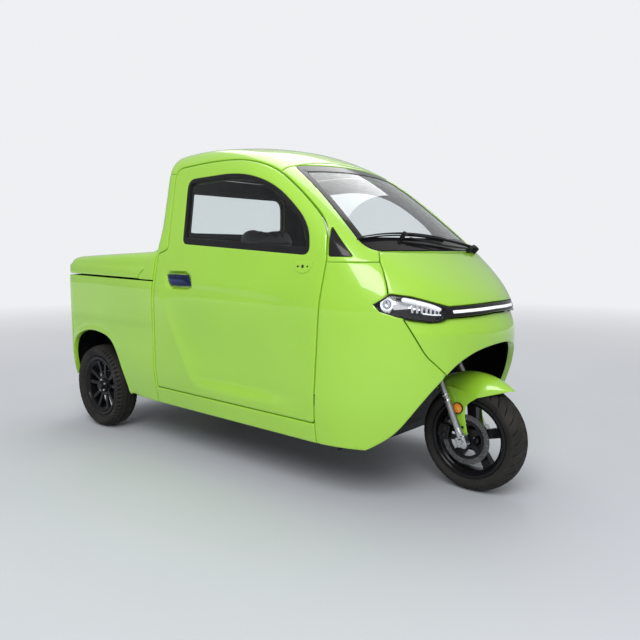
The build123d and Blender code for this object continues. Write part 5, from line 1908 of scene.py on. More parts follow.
    def top_seam(self, side_end: Points, margin: float) -> Points:
        """Seam across the top: from the shoulder back to the hinge line by a smooth step.

        Args:
            side_end: where the seam on the side ends.
            margin: how far it moves ahead.

        Returns:
            The seam's places on the skin.
        """
        y = np.linspace(side_end[1], 0, 60)
        blend = step(np.abs(y), 0.40, abs(side_end[1]) - 0.01)
        x = self.hinge_x + margin + (side_end[0] - self.hinge_x - margin) * blend
        return BED.hit(np.stack([x, y, np.full(60, 0.9)], 1), np.broadcast_to((0, 0, 1.0), (60, 3)))

    def lid(self) -> Piece:
        """Lid with its skirt round three sides.

        Returns:
            The lid.
        """
        seam = BED.side(self.strip_seam(-SHUT), -1)
        top = self.top_seam(seam[-1], -SHUT)
        tail = self.rear_middle(self.gap_line(TAIL_X, self.gap / 2))
        start_x = TAIL_X + 0.11
        corner = BED.side([(start_x, self.gap_line(start_x, self.gap / 2))], -1)[0]
        round_tail = BED.level(tail, corner, -1.2, 50)
        low = BED.side(stretch([corner[[0, 2]], seam[0, [0, 2]]])[1:-1], -1)
        loop = mirrored(round_tail, low, seam, top[1:])
        panel = Panel("bed_lid", BED_LID, loop, thickness=0.022, relief=self.lid_relief)
        return panel.build(("paint", "plastic"))

    def strip(self) -> Piece:
        """Fixed deck strip between cab and lid.

        Returns:
            The strip.
        """
        seam = BED.side(self.strip_seam(SHUT), -1)
        top = self.top_seam(seam[-1], SHUT)
        front = (self.front_x, self.gap_line(self.front_x, SEAM))
        foot = BED.side(stretch([front, (seam[0, 0], seam[0, 2] - self.gap / 2 + SEAM)]), -1)
        over = BED.fan(self.front_x, 0.6, foot[0], 70)
        loop = mirrored(over, foot[1:-1], seam, top[1:])
        return Panel("deck_strip_skin", BED_DECK, loop, thickness=0.022).build(("paint", "plastic"))

    def build(self) -> None:
        """All bed panels."""
        for side, sign in SIDES:
            settle(self.side(f"bed_side_skin_{side}", sign), "body", Finish.PAINT, [f"bed_side_{side}"])
            lamp = settle(self.tail_lamp(f"tail_lamp_{side}", sign), "body", Finish.RED)
            settle(self.reversing_lamp(f"reversing_lamp_{side}", sign), "body", Finish.LIGHT)
        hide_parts("tail_lamps")
        settle(self.tail(), "body", Finish.PAINT, ["tail_panel"])
        settle(self.strip(), "body", Finish.PAINT, ["deck_strip"])
        settle(self.lid(), "lid", Finish.PAINT, ["lid"])


# ================================================================ cabin
@dataclass
class Dashboard:
    """Soft dashboard across the cab, kept clear of the side walls.

    The place (s, v) is the profile's (x, z) at s and y = v times the half width of the body
    there less a margin, with v's ends closed.
    """

    profile: tuple = (
        (-0.275, 0.856), (-0.277, 0.960), (-0.246, 0.984), (-0.232, 0.994), (-0.190, 0.990),
        (-0.150, 0.968), (-0.118, 0.930), (-0.098, 0.890), (-0.098, 0.856),
    )
    margin: float = 0.075
    bow: float = 0.03           # how far its middle stands nearer the seat
    dip: float = 0.05           # share of its height by which its ends drop
    lift: float = 0.02
    columns: int = 41
    vent: tuple = (
        (0.002, 0), (0.030, 0), (0.034, 0.006), (0.030, 0.010), (0.024, 0.006), (0.002, 0.006),
    )
    vent_y: float = 0.30
    vent_z: float = 0.93
    pod_size: tuple = (0.020, 0.19, 0.085)
    pod_z: float = 0.975

    def build(self) -> None:
        """The dashboard with an instrument pod and two round vents."""
        line = rounded(stations(self.profile), 0.02, 4)
        reach = np.abs(CAB.side(line, -1)[:, 1]) - self.margin
        v = np.linspace(-1, 1, self.columns)
        x = line[:, 0][None, :] - self.bow * (1 - v[:, None] ** 2)
        z = np.broadcast_to(line[:, 1], x.shape) * (1 - self.dip * v[:, None] ** 2) + self.lift
        points = np.stack([x, v[:, None] * reach[None, :], z], -1)
        n = len(line)
        ends = [list(range(n)), list(range((self.columns - 1) * n, self.columns * n))]
        faces = grid_faces(self.columns, n, False, True) + ends
        rear_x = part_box("dashboard")[0].x
        places = [(rear_x - 0.010, y, self.vent_z) for y in (-self.vent_y, self.vent_y)]
        vents = [lathe(self.vent, place, (-1, 0, 0.2), 32) for place in places]
        pod = block(self.pod_size, (rear_x - 0.030, 0.0, self.pod_z), power=0.35)
        piece = assembled("dash_panel", [(points.reshape(-1, 3), faces), *vents, pod], "inner")
        settle(piece, "body", Finish.PLASTIC, ["dashboard"])


@dataclass
class Pad:
    """Padded part of the seat: a soft block blown up as cloth, then quilted.

    A channel sinks the cover by depth exp(-(d / width)^2) at the distance d from its line,
    on the side that faces out.
    """

    node: str
    size: tuple                 # starting block: thickness, width across the car, length
    lean: float                 # degrees that its face leans back from upright
    shift: tuple                # its middle from the low end of the solid's box, x and z
    channels: tuple             # (0 across or 1 along the pad, distance from its middle)
    depth: float = 0.007
    width: float = 0.009
    voxel: float = 0.006
    pressure: float = 4.0
    cap: float = 0.024          # farthest that the cover may travel
    frames: int = 20

    def rows(self) -> Points:
        """Its own directions: out of its face, across the car, along it."""
        c, s = math.cos(math.radians(self.lean)), math.sin(math.radians(self.lean))
        return np.array([(c, 0, s), (0, 1, 0), (-s, 0, c)])

    def middle(self) -> Points:
        """Where its middle goes."""
        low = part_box(self.node)[0]
        return np.array((low.x + self.shift[0], 0.0, low.z + self.shift[1]))

    @staticmethod
    def points_of(mesh: bpy.types.Mesh) -> Points:
        """A mesh's points as an array.

        Args:
            mesh: the mesh.

        Returns:
            Its points, one a row.
        """
        flat = np.empty(len(mesh.vertices) * 3)
        mesh.vertices.foreach_get("co", flat)
        return flat.reshape(-1, 3)

    def bake(self, piece: Piece) -> None:
        """Swap the mesh for the one its modifiers give, and remove them.

        Args:
            piece: the piece.
        """
        graph = bpy.context.evaluated_depsgraph_get()
        mesh = bpy.data.meshes.new_from_object(piece.evaluated_get(graph), depsgraph=graph)
        piece.modifiers.clear()
        piece.data = mesh

    def blow(self, piece: Piece) -> None:
        """Let the cover swell under pressure, no farther than the cap.

        Args:
            piece: the piece.
        """
        rest = self.points_of(piece.data)
        cloth = piece.modifiers.new("air", "CLOTH")
        cloth.settings.quality = 5
        cloth.settings.use_pressure = True
        cloth.settings.uniform_pressure_force = self.pressure
        cloth.settings.effector_weights.gravity = 0
        cloth.point_cache.frame_start, cloth.point_cache.frame_end = 1, self.frames
        for frame in range(1, self.frames + 1):
            bpy.context.scene.frame_set(frame)
        self.bake(piece)
        bpy.context.scene.frame_set(1)
        move = self.points_of(piece.data) - rest
        size = np.linalg.norm(move, axis=1, keepdims=True)
        moved = rest + move * np.minimum(1, self.cap / np.maximum(size, 1e-9))
        piece.data.vertices.foreach_set("co", moved.ravel())

    def quilt(self, piece: Piece) -> None:
        """Sink the sewn channels, and keep the pad inside the solid's box.

        Args:
            piece: the piece.
        """
        points = self.points_of(piece.data)
        normal = np.empty(len(points) * 3)
        piece.data.vertices.foreach_get("normal", normal)
        normal = normal.reshape(-1, 3)
        rows = self.rows()
        place = (points - self.middle()) @ rows.T
        out = step(normal @ rows[0], 0.2, 0.8)
        sink = sum(np.exp(-(((place[:, 2 - way] - at) / self.width) ** 2)) for way, at in self.channels)
        points = points - normal * (self.depth * np.minimum(sink, 1) * out)[:, None]
        low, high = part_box(self.node)
        points = np.clip(points, np.array(low) + 0.001, np.array(high) - 0.001)
        piece.data.vertices.foreach_set("co", points.ravel())
        piece.data.update()

    def build(self) -> None:
        """Block, remesh, cloth, channels, one subdivision."""
        points, faces = block(self.size, self.middle(), self.rows(), 0.36)
        piece = make_object(f"{self.node}_pad", points, faces, ("vinyl",))
        remesh = piece.modifiers.new("even", "REMESH")
        remesh.mode, remesh.voxel_size, remesh.use_smooth_shade = "VOXEL", self.voxel, True
        self.bake(piece)
        self.blow(piece)
        self.quilt(piece)
        soft = piece.modifiers.new("soft", "SUBSURF")
        soft.levels = soft.render_levels = 1
        piece.data.materials.clear()
        piece.data.materials.append(finish("vinyl"))
        piece.data.polygons.foreach_set("use_smooth", np.ones(len(piece.data.polygons), bool))
        settle(piece, "body", Finish.VINYL, [self.node])


# ================================================================ lamps and wiper
@dataclass
class Lamps:
    """One gloss black frame across the nose with a headlamp at each end and a light strip."""

    cab: Cab
    rim: float = 0.006
    depth: float = 0.038
    projector: tuple = (1.016, 0.472, 0.851)
    projector_r: float = 0.0195
    upper_bar: tuple = ((0.434, 0.874), (0.372, 0.855), (0.322, 0.836))
    lower_bar: tuple = ((0.385, 0.817), (0.350, 0.812), (0.322, 0.811))
    strip: tuple = ((0.272, 0.827, 0.814), (0.190, 0.829, 0.816), (0.0, 0.832, 0.819))
    window_inner: tuple = ((0.300, 0.812), (0.300, 0.834))
    axis: tuple = (0.86, -0.50, -0.04)      # direction of the right projector
    recess: float = 0.014       # of the projector behind its place
    ring_out: float = 0.0045    # from the projector to the middle of its ring's section
    ring_r: float = 0.0052      # radius of that section
    bar_heights: tuple = (0.0210, 0.0060)
    bar_inset: float = 0.013
    dark_line: tuple = ((0.28, 0.44, 0.47), (0.822, 0.832, 0.800))  # y, z; a bowl is dark below it
    fins: int = 7
    fin_y: tuple = (0.415, 0.095)       # place of the first fin, and from it to the last
    fin_z: tuple = (0.838, 0.012)
    fin_size: tuple = (0.011, 0.034, 0.022)
    fin_taper: float = 0.008    # how much lower the last fin is
    fin_inset: float = 0.032

    def whole(self) -> Points:
        """Outline of the lamp band, (y, z), right across the nose."""
        half = np.vstack([self.cab.lamp_low, self.cab.lamp_top[1:-1]])
        return grown(np.vstack([half, half[:0:-1] * (-1, 1)]), -SEAM)

    def window(self, margin: float = 0.0) -> Points:
        """Outline of one headlamp's clear window, (y, z).

        Args:
            margin: how far it moves inward.

        Returns:
            The closed outline.
        """
        low = [p for p in self.cab.lamp_low if p[0] > 0.31]
        top = [p for p in self.cab.lamp_top if 0.31 < p[0] < 0.47]
        loop = np.vstack([self.window_inner[0], low, top, self.window_inner[1]])
        return grown(rounded(loop, 0.010, 5), -self.rim - margin)

    def strip_loop(self, margin: float = 0.0) -> Points:
        """Outline of the light strip, (y, z).

        Args:
            margin: how far it moves inward.

        Returns:
            The closed outline.
        """
        y, high, low = np.asarray(self.strip).T
        across = np.concatenate([-y, y[-2::-1]])
        upper, lower = (np.stack([across, np.concatenate([z, z[-2::-1]])], 1) for z in (high, low))
        return grown(rounded(np.vstack([upper, lower[::-1]]), 0.003, 4), -margin)

    def front(self, flat: Points) -> Points:
        """Closed outline of (y, z) on the skin."""
        return CAB.front(stretch(flat, 0.008, True))

    def band(self) -> Piece:
        """Gloss black frame with its three windows.

        Returns:
            The frame.
        """
        windows = [self.front(flat) for flat in (self.window(), self.window() * (-1, 1), self.strip_loop())]
        outline = self.front(self.whole())
        panel = Panel("lamp_frame", CAB_NOSE, outline, windows, 0.030, 0.0004, 0.002, 0.010)
        return panel.build(("gloss",))

    def backing(self) -> Piece:
        """Dark bowl that closes both headlamps from behind.

        Returns:
            The bowls.
        """
        loops = [self.front(self.window(-0.006) * (sign, 1)) for _, sign in SIDES]
        bowls = [Panel("bowl", CAB_NOSE, loop, [], 0.004, self.depth, 0.001, 0.012) for loop in loops]
        shells = [bowl.shell()[:2] for bowl in bowls]
        points, faces = joined(shells)
        middles = np.array([points[face].mean(0) for face in faces])
        dark = middles[:, 2] < np.interp(np.abs(middles[:, 1]), *self.dark_line)
        return make_object("lamp_bowls", points, faces, ("mirror", "gloss"), dark, False)

    def covers(self, name: str, sign: int) -> Piece:
        """Clear cover over one headlamp."""
        loop = self.front(self.window(0.0008))
        return Panel(name, CAB_NOSE, loop, [], 0.0022, 0.0012, 0.0008, 0.02).build(("cover",), sign)

    def light(self) -> Piece:
        """White strip between the lamps."""
        outline = self.front(self.strip_loop(0.0006))
        return Panel("light_strip", CAB_NOSE, outline, [], 0.012, 0.0016, 0.0015, 0.010).build(("light",))

    def bar(self, line: Sequence, height: float, inset: float) -> Surface:
        """Light guide along a line of (y, z), at a depth under the skin.

        Args:
            line: (y, z) of points on its middle line.
            height: its height.
            inset: depth under the skin.

        Returns:
            Points and faces.
        """
        y, z = smooth_path(line, 8).T
        skin = CAB.front(np.stack([-y, z], 1))
        return tube(skin - CAB.normal(skin) * inset, height / 2, 12)

    def guides(self, name: str, sign: int) -> Piece:
        """Upper and lower light guides and the ring round the projector.

        Args:
            name: name of the piece.
            sign: -1 on the right, +1 mirrored on the left.

        Returns:
            The guides.
        """
        centre, axis = self.aim()
        a = np.linspace(0, 2 * np.pi, 20, endpoint=False)
        across = self.projector_r + self.ring_out + self.ring_r * np.cos(a)
        ring = np.stack([across, self.ring_r * np.sin(a)], 1)
        lines = zip((self.upper_bar, self.lower_bar), self.bar_heights)
        bars = [self.bar(line, height, self.bar_inset) for line, height in lines]
        return assembled(name, [*bars, lathe(ring, centre + axis * 0.004, axis, 48)], "light", sign)

    def aim(self) -> tuple[Points, Points]:
        """Middle and direction of the right projector.

        Returns:
            The two vectors.
        """
        x, y, z = self.projector
        axis = unit(self.axis)
        return np.array((x, -y, z)) - axis * self.recess, axis

    def optics(self, name: str, sign: int) -> Piece:
        """Projector barrel, stepped reflector shelves and fins, all bright.

        Args:
            name: name of the piece.
            sign: -1 on the right, +1 mirrored on the left.

        Returns:
            The reflectors.
        """
        centre, axis = self.aim()
        r = self.projector_r
        barrel = [
            (0.002, -0.030), (r + 0.008, -0.030), (r + 0.008, 0.001), (r + 0.006, 0.003), (r, -0.004),
            (0.002, -0.014),
        ]
        parts = [lathe(barrel, centre, axis, 48)]
        wide, high, deep = self.fin_size
        for share in np.linspace(0, 1, self.fins):
            y, z = (first - travel * share for first, travel in (self.fin_y, self.fin_z))
            skin = CAB.front([(-y, z)])[0]
            normal = CAB.normal(skin[None])[0]
            rows = np.array((unit(np.cross((0, 0, 1), normal)), (0, 0, 1), normal))
            size = (wide, high - self.fin_taper * share, deep)
            parts.append(block(size, skin - normal * self.fin_inset, rows, 0.2))
        return assembled(name, parts, "mirror", sign)

    def lens(self, name: str, sign: int) -> Piece:
        """Projector lens: a shallow glass dome.

        Args:
            name: name of the piece.
            sign: -1 on the right, +1 mirrored on the left.

        Returns:
            The lens.
        """
        centre, axis = self.aim()
        a = np.linspace(0, np.pi / 2, 10)
        dome = [(max(self.projector_r * math.cos(t), 1e-4), -0.006 + 0.012 * math.sin(t)) for t in a]
        profile = [*dome, (1e-4, -0.010), (self.projector_r, -0.010)]
        return assembled(name, [lathe(profile, centre, axis, 40)], "cover", sign)

    def build(self) -> None:
        """All lamp pieces."""
        settle(self.band(), "body", Finish.GLOSS)
        settle(self.backing(), "body", Finish.GLOSS, ["headlamps"])
        settle(self.light(), "body", Finish.LIGHT, ["light_bar"])
        for side, sign in SIDES:
            settle(self.guides(f"light_guides_{side}", sign), "body", Finish.LIGHT)
            settle(self.optics(f"lamp_reflectors_{side}", sign), "body", Finish.CHROME)
            settle(self.lens(f"projector_lens_{side}", sign), "body", Finish.COVER)
            settle(self.covers(f"lamp_cover_{side}", sign), "body", Finish.COVER)


@dataclass
class Wiper:
    """Pantograph wiper parked across the foot of the windscreen."""

    pivot: tuple = (0.330, 1.062)
    second_pivot: tuple = (0.246, 1.062)
    joint: tuple = (-0.215, 1.122)
    blade: tuple = ((-0.452, 1.112), (-0.330, 1.126), (-0.206, 1.131), (-0.060, 1.126), (0.085, 1.112))
    arm_lift: float = 0.022     # distances from the glass
    link_lift: float = 0.016
    spine_lift: float = 0.013
    rubber_lift: float = 0.001
    cap_r: tuple = (0.019, 0.013, 0.010)        # caps on pivot, second pivot and joint
    cap_h: tuple = (0.028, 0.022, 0.026)

    @staticmethod
    def above(line: Sequence, lift: float) -> Points:
        """Smooth line over the glass through given (y, z), lifted from it.

        Args:
            line: (y, z) of points to go through.
            lift: distance from the glass.

        Returns:
            The line's places in space.
        """
        y, z = smooth_path(line, 10).T
        skin = CAB.front(np.stack([y, z], 1))
        return skin + CAB.normal(skin) * lift

    def build(self) -> None:
        """Arms, blade carrier and rubber as one piece."""
        (px, pz), (sx, sz), (jx, jz) = self.pivot, self.second_pivot, self.joint
        middle, second = ((px + jx) / 2, (pz + jz) / 2 + 0.004), ((sx + jx) / 2, (sz + jz) / 2 - 0.016)
        arm = self.above([self.pivot, middle, self.joint], self.arm_lift)
        link = self.above([self.second_pivot, second, (jx + 0.02, jz - 0.014)], self.link_lift)
        spine = self.above(self.blade, self.spine_lift)
        rubber = self.above(self.blade, self.rubber_lift)
        width = 0.0095 - 0.005 * np.abs(np.linspace(-1, 1, len(spine)))
        skin = CAB.front([self.pivot, self.second_pivot, self.joint])
        caps = [
            lathe([(0.001, -0.004), (r, -0.004), (r, h), (r * 0.7, h + 0.004), (0.001, h + 0.005)], p, n, 20)
            for p, n, r, h in zip(skin, CAB.normal(skin), self.cap_r, self.cap_h)
        ]
        bars = [
            tube(arm, np.linspace(0.013, 0.006, len(arm)), 10, 0.55), tube(link, 0.0042, 8),
            tube(spine, width, 10, 0.5), tube(rubber, 0.0035, 6),
        ]
        settle(assembled("wiper", [*bars, *caps], "plastic"), "body", Finish.PLASTIC)


# ================================================================ wheels
@dataclass
class Tyre:
    """Tyre with moulded tread: a section turned round the axle, cut by grooves whose floors carry painted
    shade.

    Column i of row j stands at the angle 2 pi i / n + lean |across_j|, and its radius is the
    section's less the groove depth where the row is in the tread and the column in a groove.
    """

    node: str
    body: str
    shoulder: float
    pitches: int
    cut: tuple              # share of the half width where the grooves begin and end
    lean: float             # turn of a groove per metre across, in radians
    ribs: tuple = ()        # shares of the half width that carry a groove round the tyre
    depth: float = 0.0055
    columns: int = 9
    bead: float = 0.165

    def section(self) -> Points:
        """Half section from the bead to the middle of the tread, (across, radius).

        Returns:
            The half section.
        """
        low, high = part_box(self.node)
        half, radius = (high.y - low.y) / 2, (high.z - low.z) / 2
        base = np.array((
            (0.042, self.bead), (0.0445, self.bead + 0.016),
            (half - 0.0095, radius - self.shoulder - 0.030), (half - 0.0005, radius - self.shoulder - 0.006),
            (half - 0.003, radius - self.shoulder + 0.007),
            (half * 0.86, radius - self.shoulder * 0.62), (half * 0.66, radius - self.shoulder * 0.25),
            (half * 0.36, radius - 0.0015), (half * 0.12, radius - 0.0002), (0.0, radius),
        ))
        return smooth_path(base, 5)

    def ribbed(self, half: float) -> Points:
        """The half section with its ribs' grooves cut in.

        Args:
            half: half the tyre's width.

        Returns:
            The half section.
        """
        section = self.section()
        for rib in self.ribs:
            near = rib * half + np.array((-0.0032, -0.0020, 0.0020, 0.0032))
            heights = np.interp(near, section[::-1, 0], section[::-1, 1]) - (0, self.depth, self.depth, 0)
            keep = np.abs(section[:, 0] - rib * half) > 0.0034
            keep |= section[:, 1] < section[:, 1].max() - self.shoulder
            section = np.vstack([section[keep], np.stack([near, heights], 1)])
            tread = section[:, 1] > section[:, 1].max() - self.shoulder - self.depth
            section = np.vstack([section[~tread], section[tread][np.argsort(-section[tread][:, 0])]])
        return section

    def build(self) -> None:
        """The tyre on its body."""
        low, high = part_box(self.node)
        centre, half = box_middle(self.node), (high.y - low.y) / 2
        section = self.ribbed(half)
        across = np.concatenate([section[:, 0], -section[::-1][1:, 0]])
        radius = np.concatenate([section[:, 1], section[::-1][1:, 1]])
        share = np.abs(across) / half
        first, last = self.cut
        tread = step(share, first - 0.02, first + 0.02) * step(share, last + 0.03, last - 0.02)
        tread *= radius > radius.max() - self.shoulder - 0.004
        n = self.pitches * self.columns
        groove = np.isin(np.arange(n) % self.columns, (0, 1)).astype(float)
        angle = 2 * np.pi * np.arange(n)[:, None] / n + self.lean * np.abs(across)[None, :]
        out = radius[None, :] - self.depth * groove[:, None] * tread[None, :]
        wide = np.broadcast_to(across, out.shape)
        points = np.stack([out * np.sin(angle), wide, out * np.cos(angle)], -1)
        faces = grid_faces(n, len(across), True, True)
        # the groove floors take the darker groove coat: painted shade in the grooves
        shaded_groove_faces = (np.arange(n) % self.columns == 0)[:, None] & (tread > 0.5)[None, :]
        points = points.reshape(-1, 3) + centre
        coats = ("tyre", "groove")
        piece = make_object(f"{self.node}_tread", points, faces, coats, shaded_groove_faces.ravel(), sharp=32.0)
        settle(piece, self.body, Finish.TYRE, [self.node])


def sector(
    inner: float, outer: float, middle: float, inner_half: float, outer_half: float, corner: float
) -> Points:
    """Window between two spokes: two arcs about the hub with rounded corners; angles in radians.

    Args:
        inner: radius of the inner arc.
        outer: radius of the outer arc.
        middle: angle of its middle.
        inner_half: half angle of the inner arc.
        outer_half: half angle of the outer arc.
        corner: radius of its corners.

    Returns:
        The closed outline.
    """
    low = np.linspace(-inner_half, inner_half, 5)
    high = np.linspace(outer_half, -outer_half, 9)
    r = np.concatenate([np.full(5, inner), np.full(9, outer)])
    a = np.concatenate([low, high]) + middle
    return rounded(np.stack([r * np.cos(a), r * np.sin(a)], 1), corner, 4)


AXLE_ROWS = np.array(((1.0, 0.0, 0.0), (0.0, 0.0, 1.0), (0.0, -1.0, 0.0)))


def bevelled(piece: Piece, width: float) -> Piece:
    """Round a piece's sharp edges.

    Args:
        piece: the piece.
        width: width of the bevel.

    Returns:
        The same piece.
    """
    bevel = piece.modifiers.new("edge", "BEVEL")
    bevel.width, bevel.segments, bevel.limit_method, bevel.angle_limit = width, 2, "ANGLE", math.radians(50)
    return piece


@dataclass
class Wheel:
    """Alloy wheel: barrel, a plate of spokes, hub cap and bolts, on the right-hand side's terms."""

    node: str
    body: str
    outward: int            # -1 when the face points right
    windows: tuple          # (angle in degrees, half width at the hub, half width at the barrel) each
    plate_at: float         # middle of the spokes outside the wheel's middle plane
    plate_t: float
    hub_r: float
    hub_reach: float
    bolts: int
    bolt_r: float
    flange: float = 0.178
    window_inner: float = 0.062
    window_outer: float = 0.146

    def barrel(self) -> Surface:
        """Rim: flanges, bead seats and drop well turned round the axle.

        Returns:
            Points and faces.
        """
        half = [
            (self.flange, 0.050), (self.flange + 0.0015, 0.0475), (self.flange, 0.045), (0.168, 0.0435),
            (0.1646, 0.040), (0.1646, 0.032), (0.156, 0.026), (0.1525, 0.020),
        ]
        inner = [
            (0.1455, 0.020), (0.1475, 0.030), (0.1545, 0.034), (0.1595, 0.044), (0.165, 0.050),
            (0.172, 0.0515),
        ]
        outer_side = half + [(r, -y) for r, y in half[::-1]]
        inner_side = [(r, -y) for r, y in inner[::-1]] + inner
        return lathe(outer_side + inner_side, box_middle(self.node), (0, 1, 0), 96)

    def spokes(self) -> Surface:
        """Plate of spokes.

        Returns:
            Points and faces.
        """
        windows = np.radians(self.windows)
        holes = [sector(self.window_inner, self.window_outer, a, i, o, 0.010) for a, i, o in windows]
        centre = box_middle(self.node) + (0, self.outward * self.plate_at, 0)
        points, faces = plate(circle(0.1485, 96), holes, self.plate_t, AXLE_ROWS, (0, 0, 0))
        depth = points[:, 1] * -self.outward
        r = np.hypot(points[:, 0], points[:, 2])
        dish = 0.010 * step(r, 0.145, 0.055) * (depth < 0)
        points[:, 1] -= self.outward * dish
        return points + centre, faces

    def build(self) -> None:
        """Rim, cap and bolts."""
        centre = box_middle(self.node)
        axis = (0, self.outward, 0)
        h = self.hub_reach
        hub = [
            (0.012, h - 0.055), (self.hub_r, h - 0.055), (self.hub_r, h - 0.006), (self.hub_r - 0.005, h),
            (0.026, h), (0.022, h - 0.006), (0.012, h - 0.006),
        ]
        parts = [self.barrel(), self.spokes(), lathe(hub, centre, axis, 60)]
        rim = bevelled(assembled(f"{self.node}_alloy", parts, "rim"), 0.0022)
        settle(rim, self.body, Finish.RIM, [self.node])
        bolt = [(0.0008, 0), (0.0075, 0), (0.0075, 0.007), (0.005, 0.009), (0.0008, 0.009)]
        bolts = []
        for a in np.linspace(0, 2 * np.pi, self.bolts, endpoint=False) + 0.4:
            place = (self.bolt_r * math.cos(a), self.outward * (h - 0.004), self.bolt_r * math.sin(a))
            bolts.append(lathe(bolt, centre + place, axis, 6))
        settle(assembled(f"{self.node}_bolts", bolts, "silver"), self.body, Finish.STEEL)


@dataclass
class FrontEnd:
    """Fork legs, disc, caliper, mudguard with its stays and reflectors, bar grips."""

    rake: float = math.radians(25.0)
    leg_y: float = 0.104
    disc_y: float = -0.072
    disc_r: float = 0.112
    guard_r: float = 0.2965
    guard_half: float = 0.080
    guard_t: float = 0.0034
    stay_y: float = 0.0784
    stay_t: float = 0.0040
    stay_edges: tuple = (       # behind, ahead and above, as (distance ahead of the axle, height)
        ((-0.140, 0.462), (-0.100, 0.405), (-0.066, 0.340), (-0.024, 0.264)),
        ((0.012, 0.264), (0.000, 0.320), (-0.003, 0.372), (0.010, 0.403), (0.056, 0.438)),
        ((0.046, 0.446), (-0.010, 0.458), (-0.080, 0.470)),
    )
    caliper_at: float = 168.0   # degrees round the axle, from ahead by way of the top
    caliper_r: float = 0.098
    guard_span: tuple = (51.5, 134.0)
    guard_grid: tuple = (90, 41)
    guard_point: float = 26.0   # degrees over which it narrows ahead
    hem_r: float = 0.1783       # least distance of the mudguard's lower edge from the axle
    hem_slope: float = 0.2935   # and its rise towards the tip
    reflector: tuple = (AXLE_X - 0.037, -0.0815, 0.378)
    stay_bolts: tuple = ((AXLE_X - 0.088, 0.420), (AXLE_X - 0.012, 0.296))
    slider: tuple = (           # (height along the leg, radius)
        (-0.020, 0.0175), (0.010, 0.0185), (0.030, 0.0185), (0.045, 0.0170), (0.060, 0.0150),
        (0.120, 0.0152), (0.178, 0.0154), (0.180, 0.0172), (0.192, 0.0172), (0.194, 0.0158),
        (0.206, 0.0158), (0.208, 0.0168), (0.214, 0.0164),
    )
    drill_rings: tuple = (0.0905, 0.0980, 0.1055)
    drills: int = 24

    def along(self, height: float, y: float) -> Points:
        """Place on a fork leg's middle line at a height along it."""
        up = np.array((-math.sin(self.rake), 0, math.cos(self.rake)))
        return np.array((AXLE_X, y, AXLE_Z)) + up * height

    def leg(self, y: float) -> list:
        """One slider: lug, tube with collars, dust cap and axle nut.

        Args:
            y: place of the leg across the car.

        Returns:
            Its surfaces.
        """
        heights, radii = np.asarray(self.slider).T
        line = np.array([self.along(h, y) for h in heights])
        up = unit(line[-1] - line[0])
        rows = np.array((np.cross(up, (0, 1, 0)), (0, 1, 0), up))
        side = 1 if y > 0 else -1
        axis = (0, side, 0)
        nut = [(0.002, 0.0), (0.0135, 0.0), (0.0135, 0.009), (0.0115, 0.0115), (0.002, 0.0115)]
        washer = [(0.002, 0.0), (0.018, 0.0), (0.018, 0.002), (0.002, 0.002)]
        return [
            tube(line, radii, 28), block((0.050, 0.036, 0.050), self.along(0.0, y), rows, 0.24),
            lathe(nut, (AXLE_X, y + side * 0.0185, AXLE_Z), axis, 6),
            lathe(washer, (AXLE_X, y + side * 0.0175, AXLE_Z), axis, 32),
        ]

    def disc(self) -> Piece:
        """Brake disc drilled in sheared rows, on a dark carrier of its own windows.

        Returns:
            The disc.
        """
        holes = []
        for row, r in enumerate(self.drill_rings):
            for k in range(self.drills):
                a = 2 * np.pi * (k + row / len(self.drill_rings)) / self.drills
                holes.append(circle(0.0026, 8, (r * math.cos(a), r * math.sin(a))))
        holes.append(circle(0.0845, 60))
        outline, centre = circle(self.disc_r - 0.0006, 110), (AXLE_X, self.disc_y, AXLE_Z)
        return assembled("drilled_disc", [plate(outline, holes, 0.0038, AXLE_ROWS, centre)], "disc")

    def carrier(self) -> Piece:
        """Dark spider that carries the disc, with its bolts.

        Returns:
            The carrier.
        """
        inner_half, outer_half = np.radians((20, 26))
        middles = np.radians(np.arange(0, 360, 72))
        windows = [sector(0.036, 0.074, a, inner_half, outer_half, 0.006) for a in middles]
        centre = np.array((AXLE_X, self.disc_y, AXLE_Z))
        parts = [plate(circle(0.0875, 60), [*windows, circle(0.016, 20)], 0.0062, AXLE_ROWS, centre)]
        bolt = [(0.0006, 0), (0.0055, 0), (0.0055, 0.003), (0.0006, 0.0042)]
        for a in np.radians(np.arange(36, 396, 72)):
            place = centre + (0.080 * math.cos(a), -0.003, 0.080 * math.sin(a))
            parts.append(lathe(bolt, place, (0, -1, 0), 12))
        return assembled("disc_carrier", parts, "rim")

    def caliper(self) -> Piece:
        """Two-piston caliper astride the disc behind the leg.

        Returns:
            The caliper.
        """
        turn = math.radians(self.caliper_at)
        out = np.array((math.cos(turn), 0, math.sin(turn)))
        rows = np.array((out, (0, 1, 0), np.cross(out, (0, 1, 0))))
        centre = np.array((AXLE_X, 0, AXLE_Z)) + out * self.caliper_r
        parts = [
            block((0.042, 0.013, 0.068), centre + (0, -0.0872, 0), rows, 0.3),
            block((0.042, 0.009, 0.066), centre + (0, -0.0605, 0), rows, 0.3),
            block((0.016, 0.034, 0.060), centre + out * 0.0245 + (0, -0.074, 0), rows, 0.3),
        ]
        piston = [(0.001, 0), (0.0115, 0), (0.0115, 0.007), (0.008, 0.0105), (0.001, 0.0105)]
        for shift in (-0.016, 0.016):
            parts.append(lathe(piston, centre + rows[2] * shift + (0, -0.092, 0), (0, -1, 0), 28))
        return assembled("caliper", parts, "chassis")

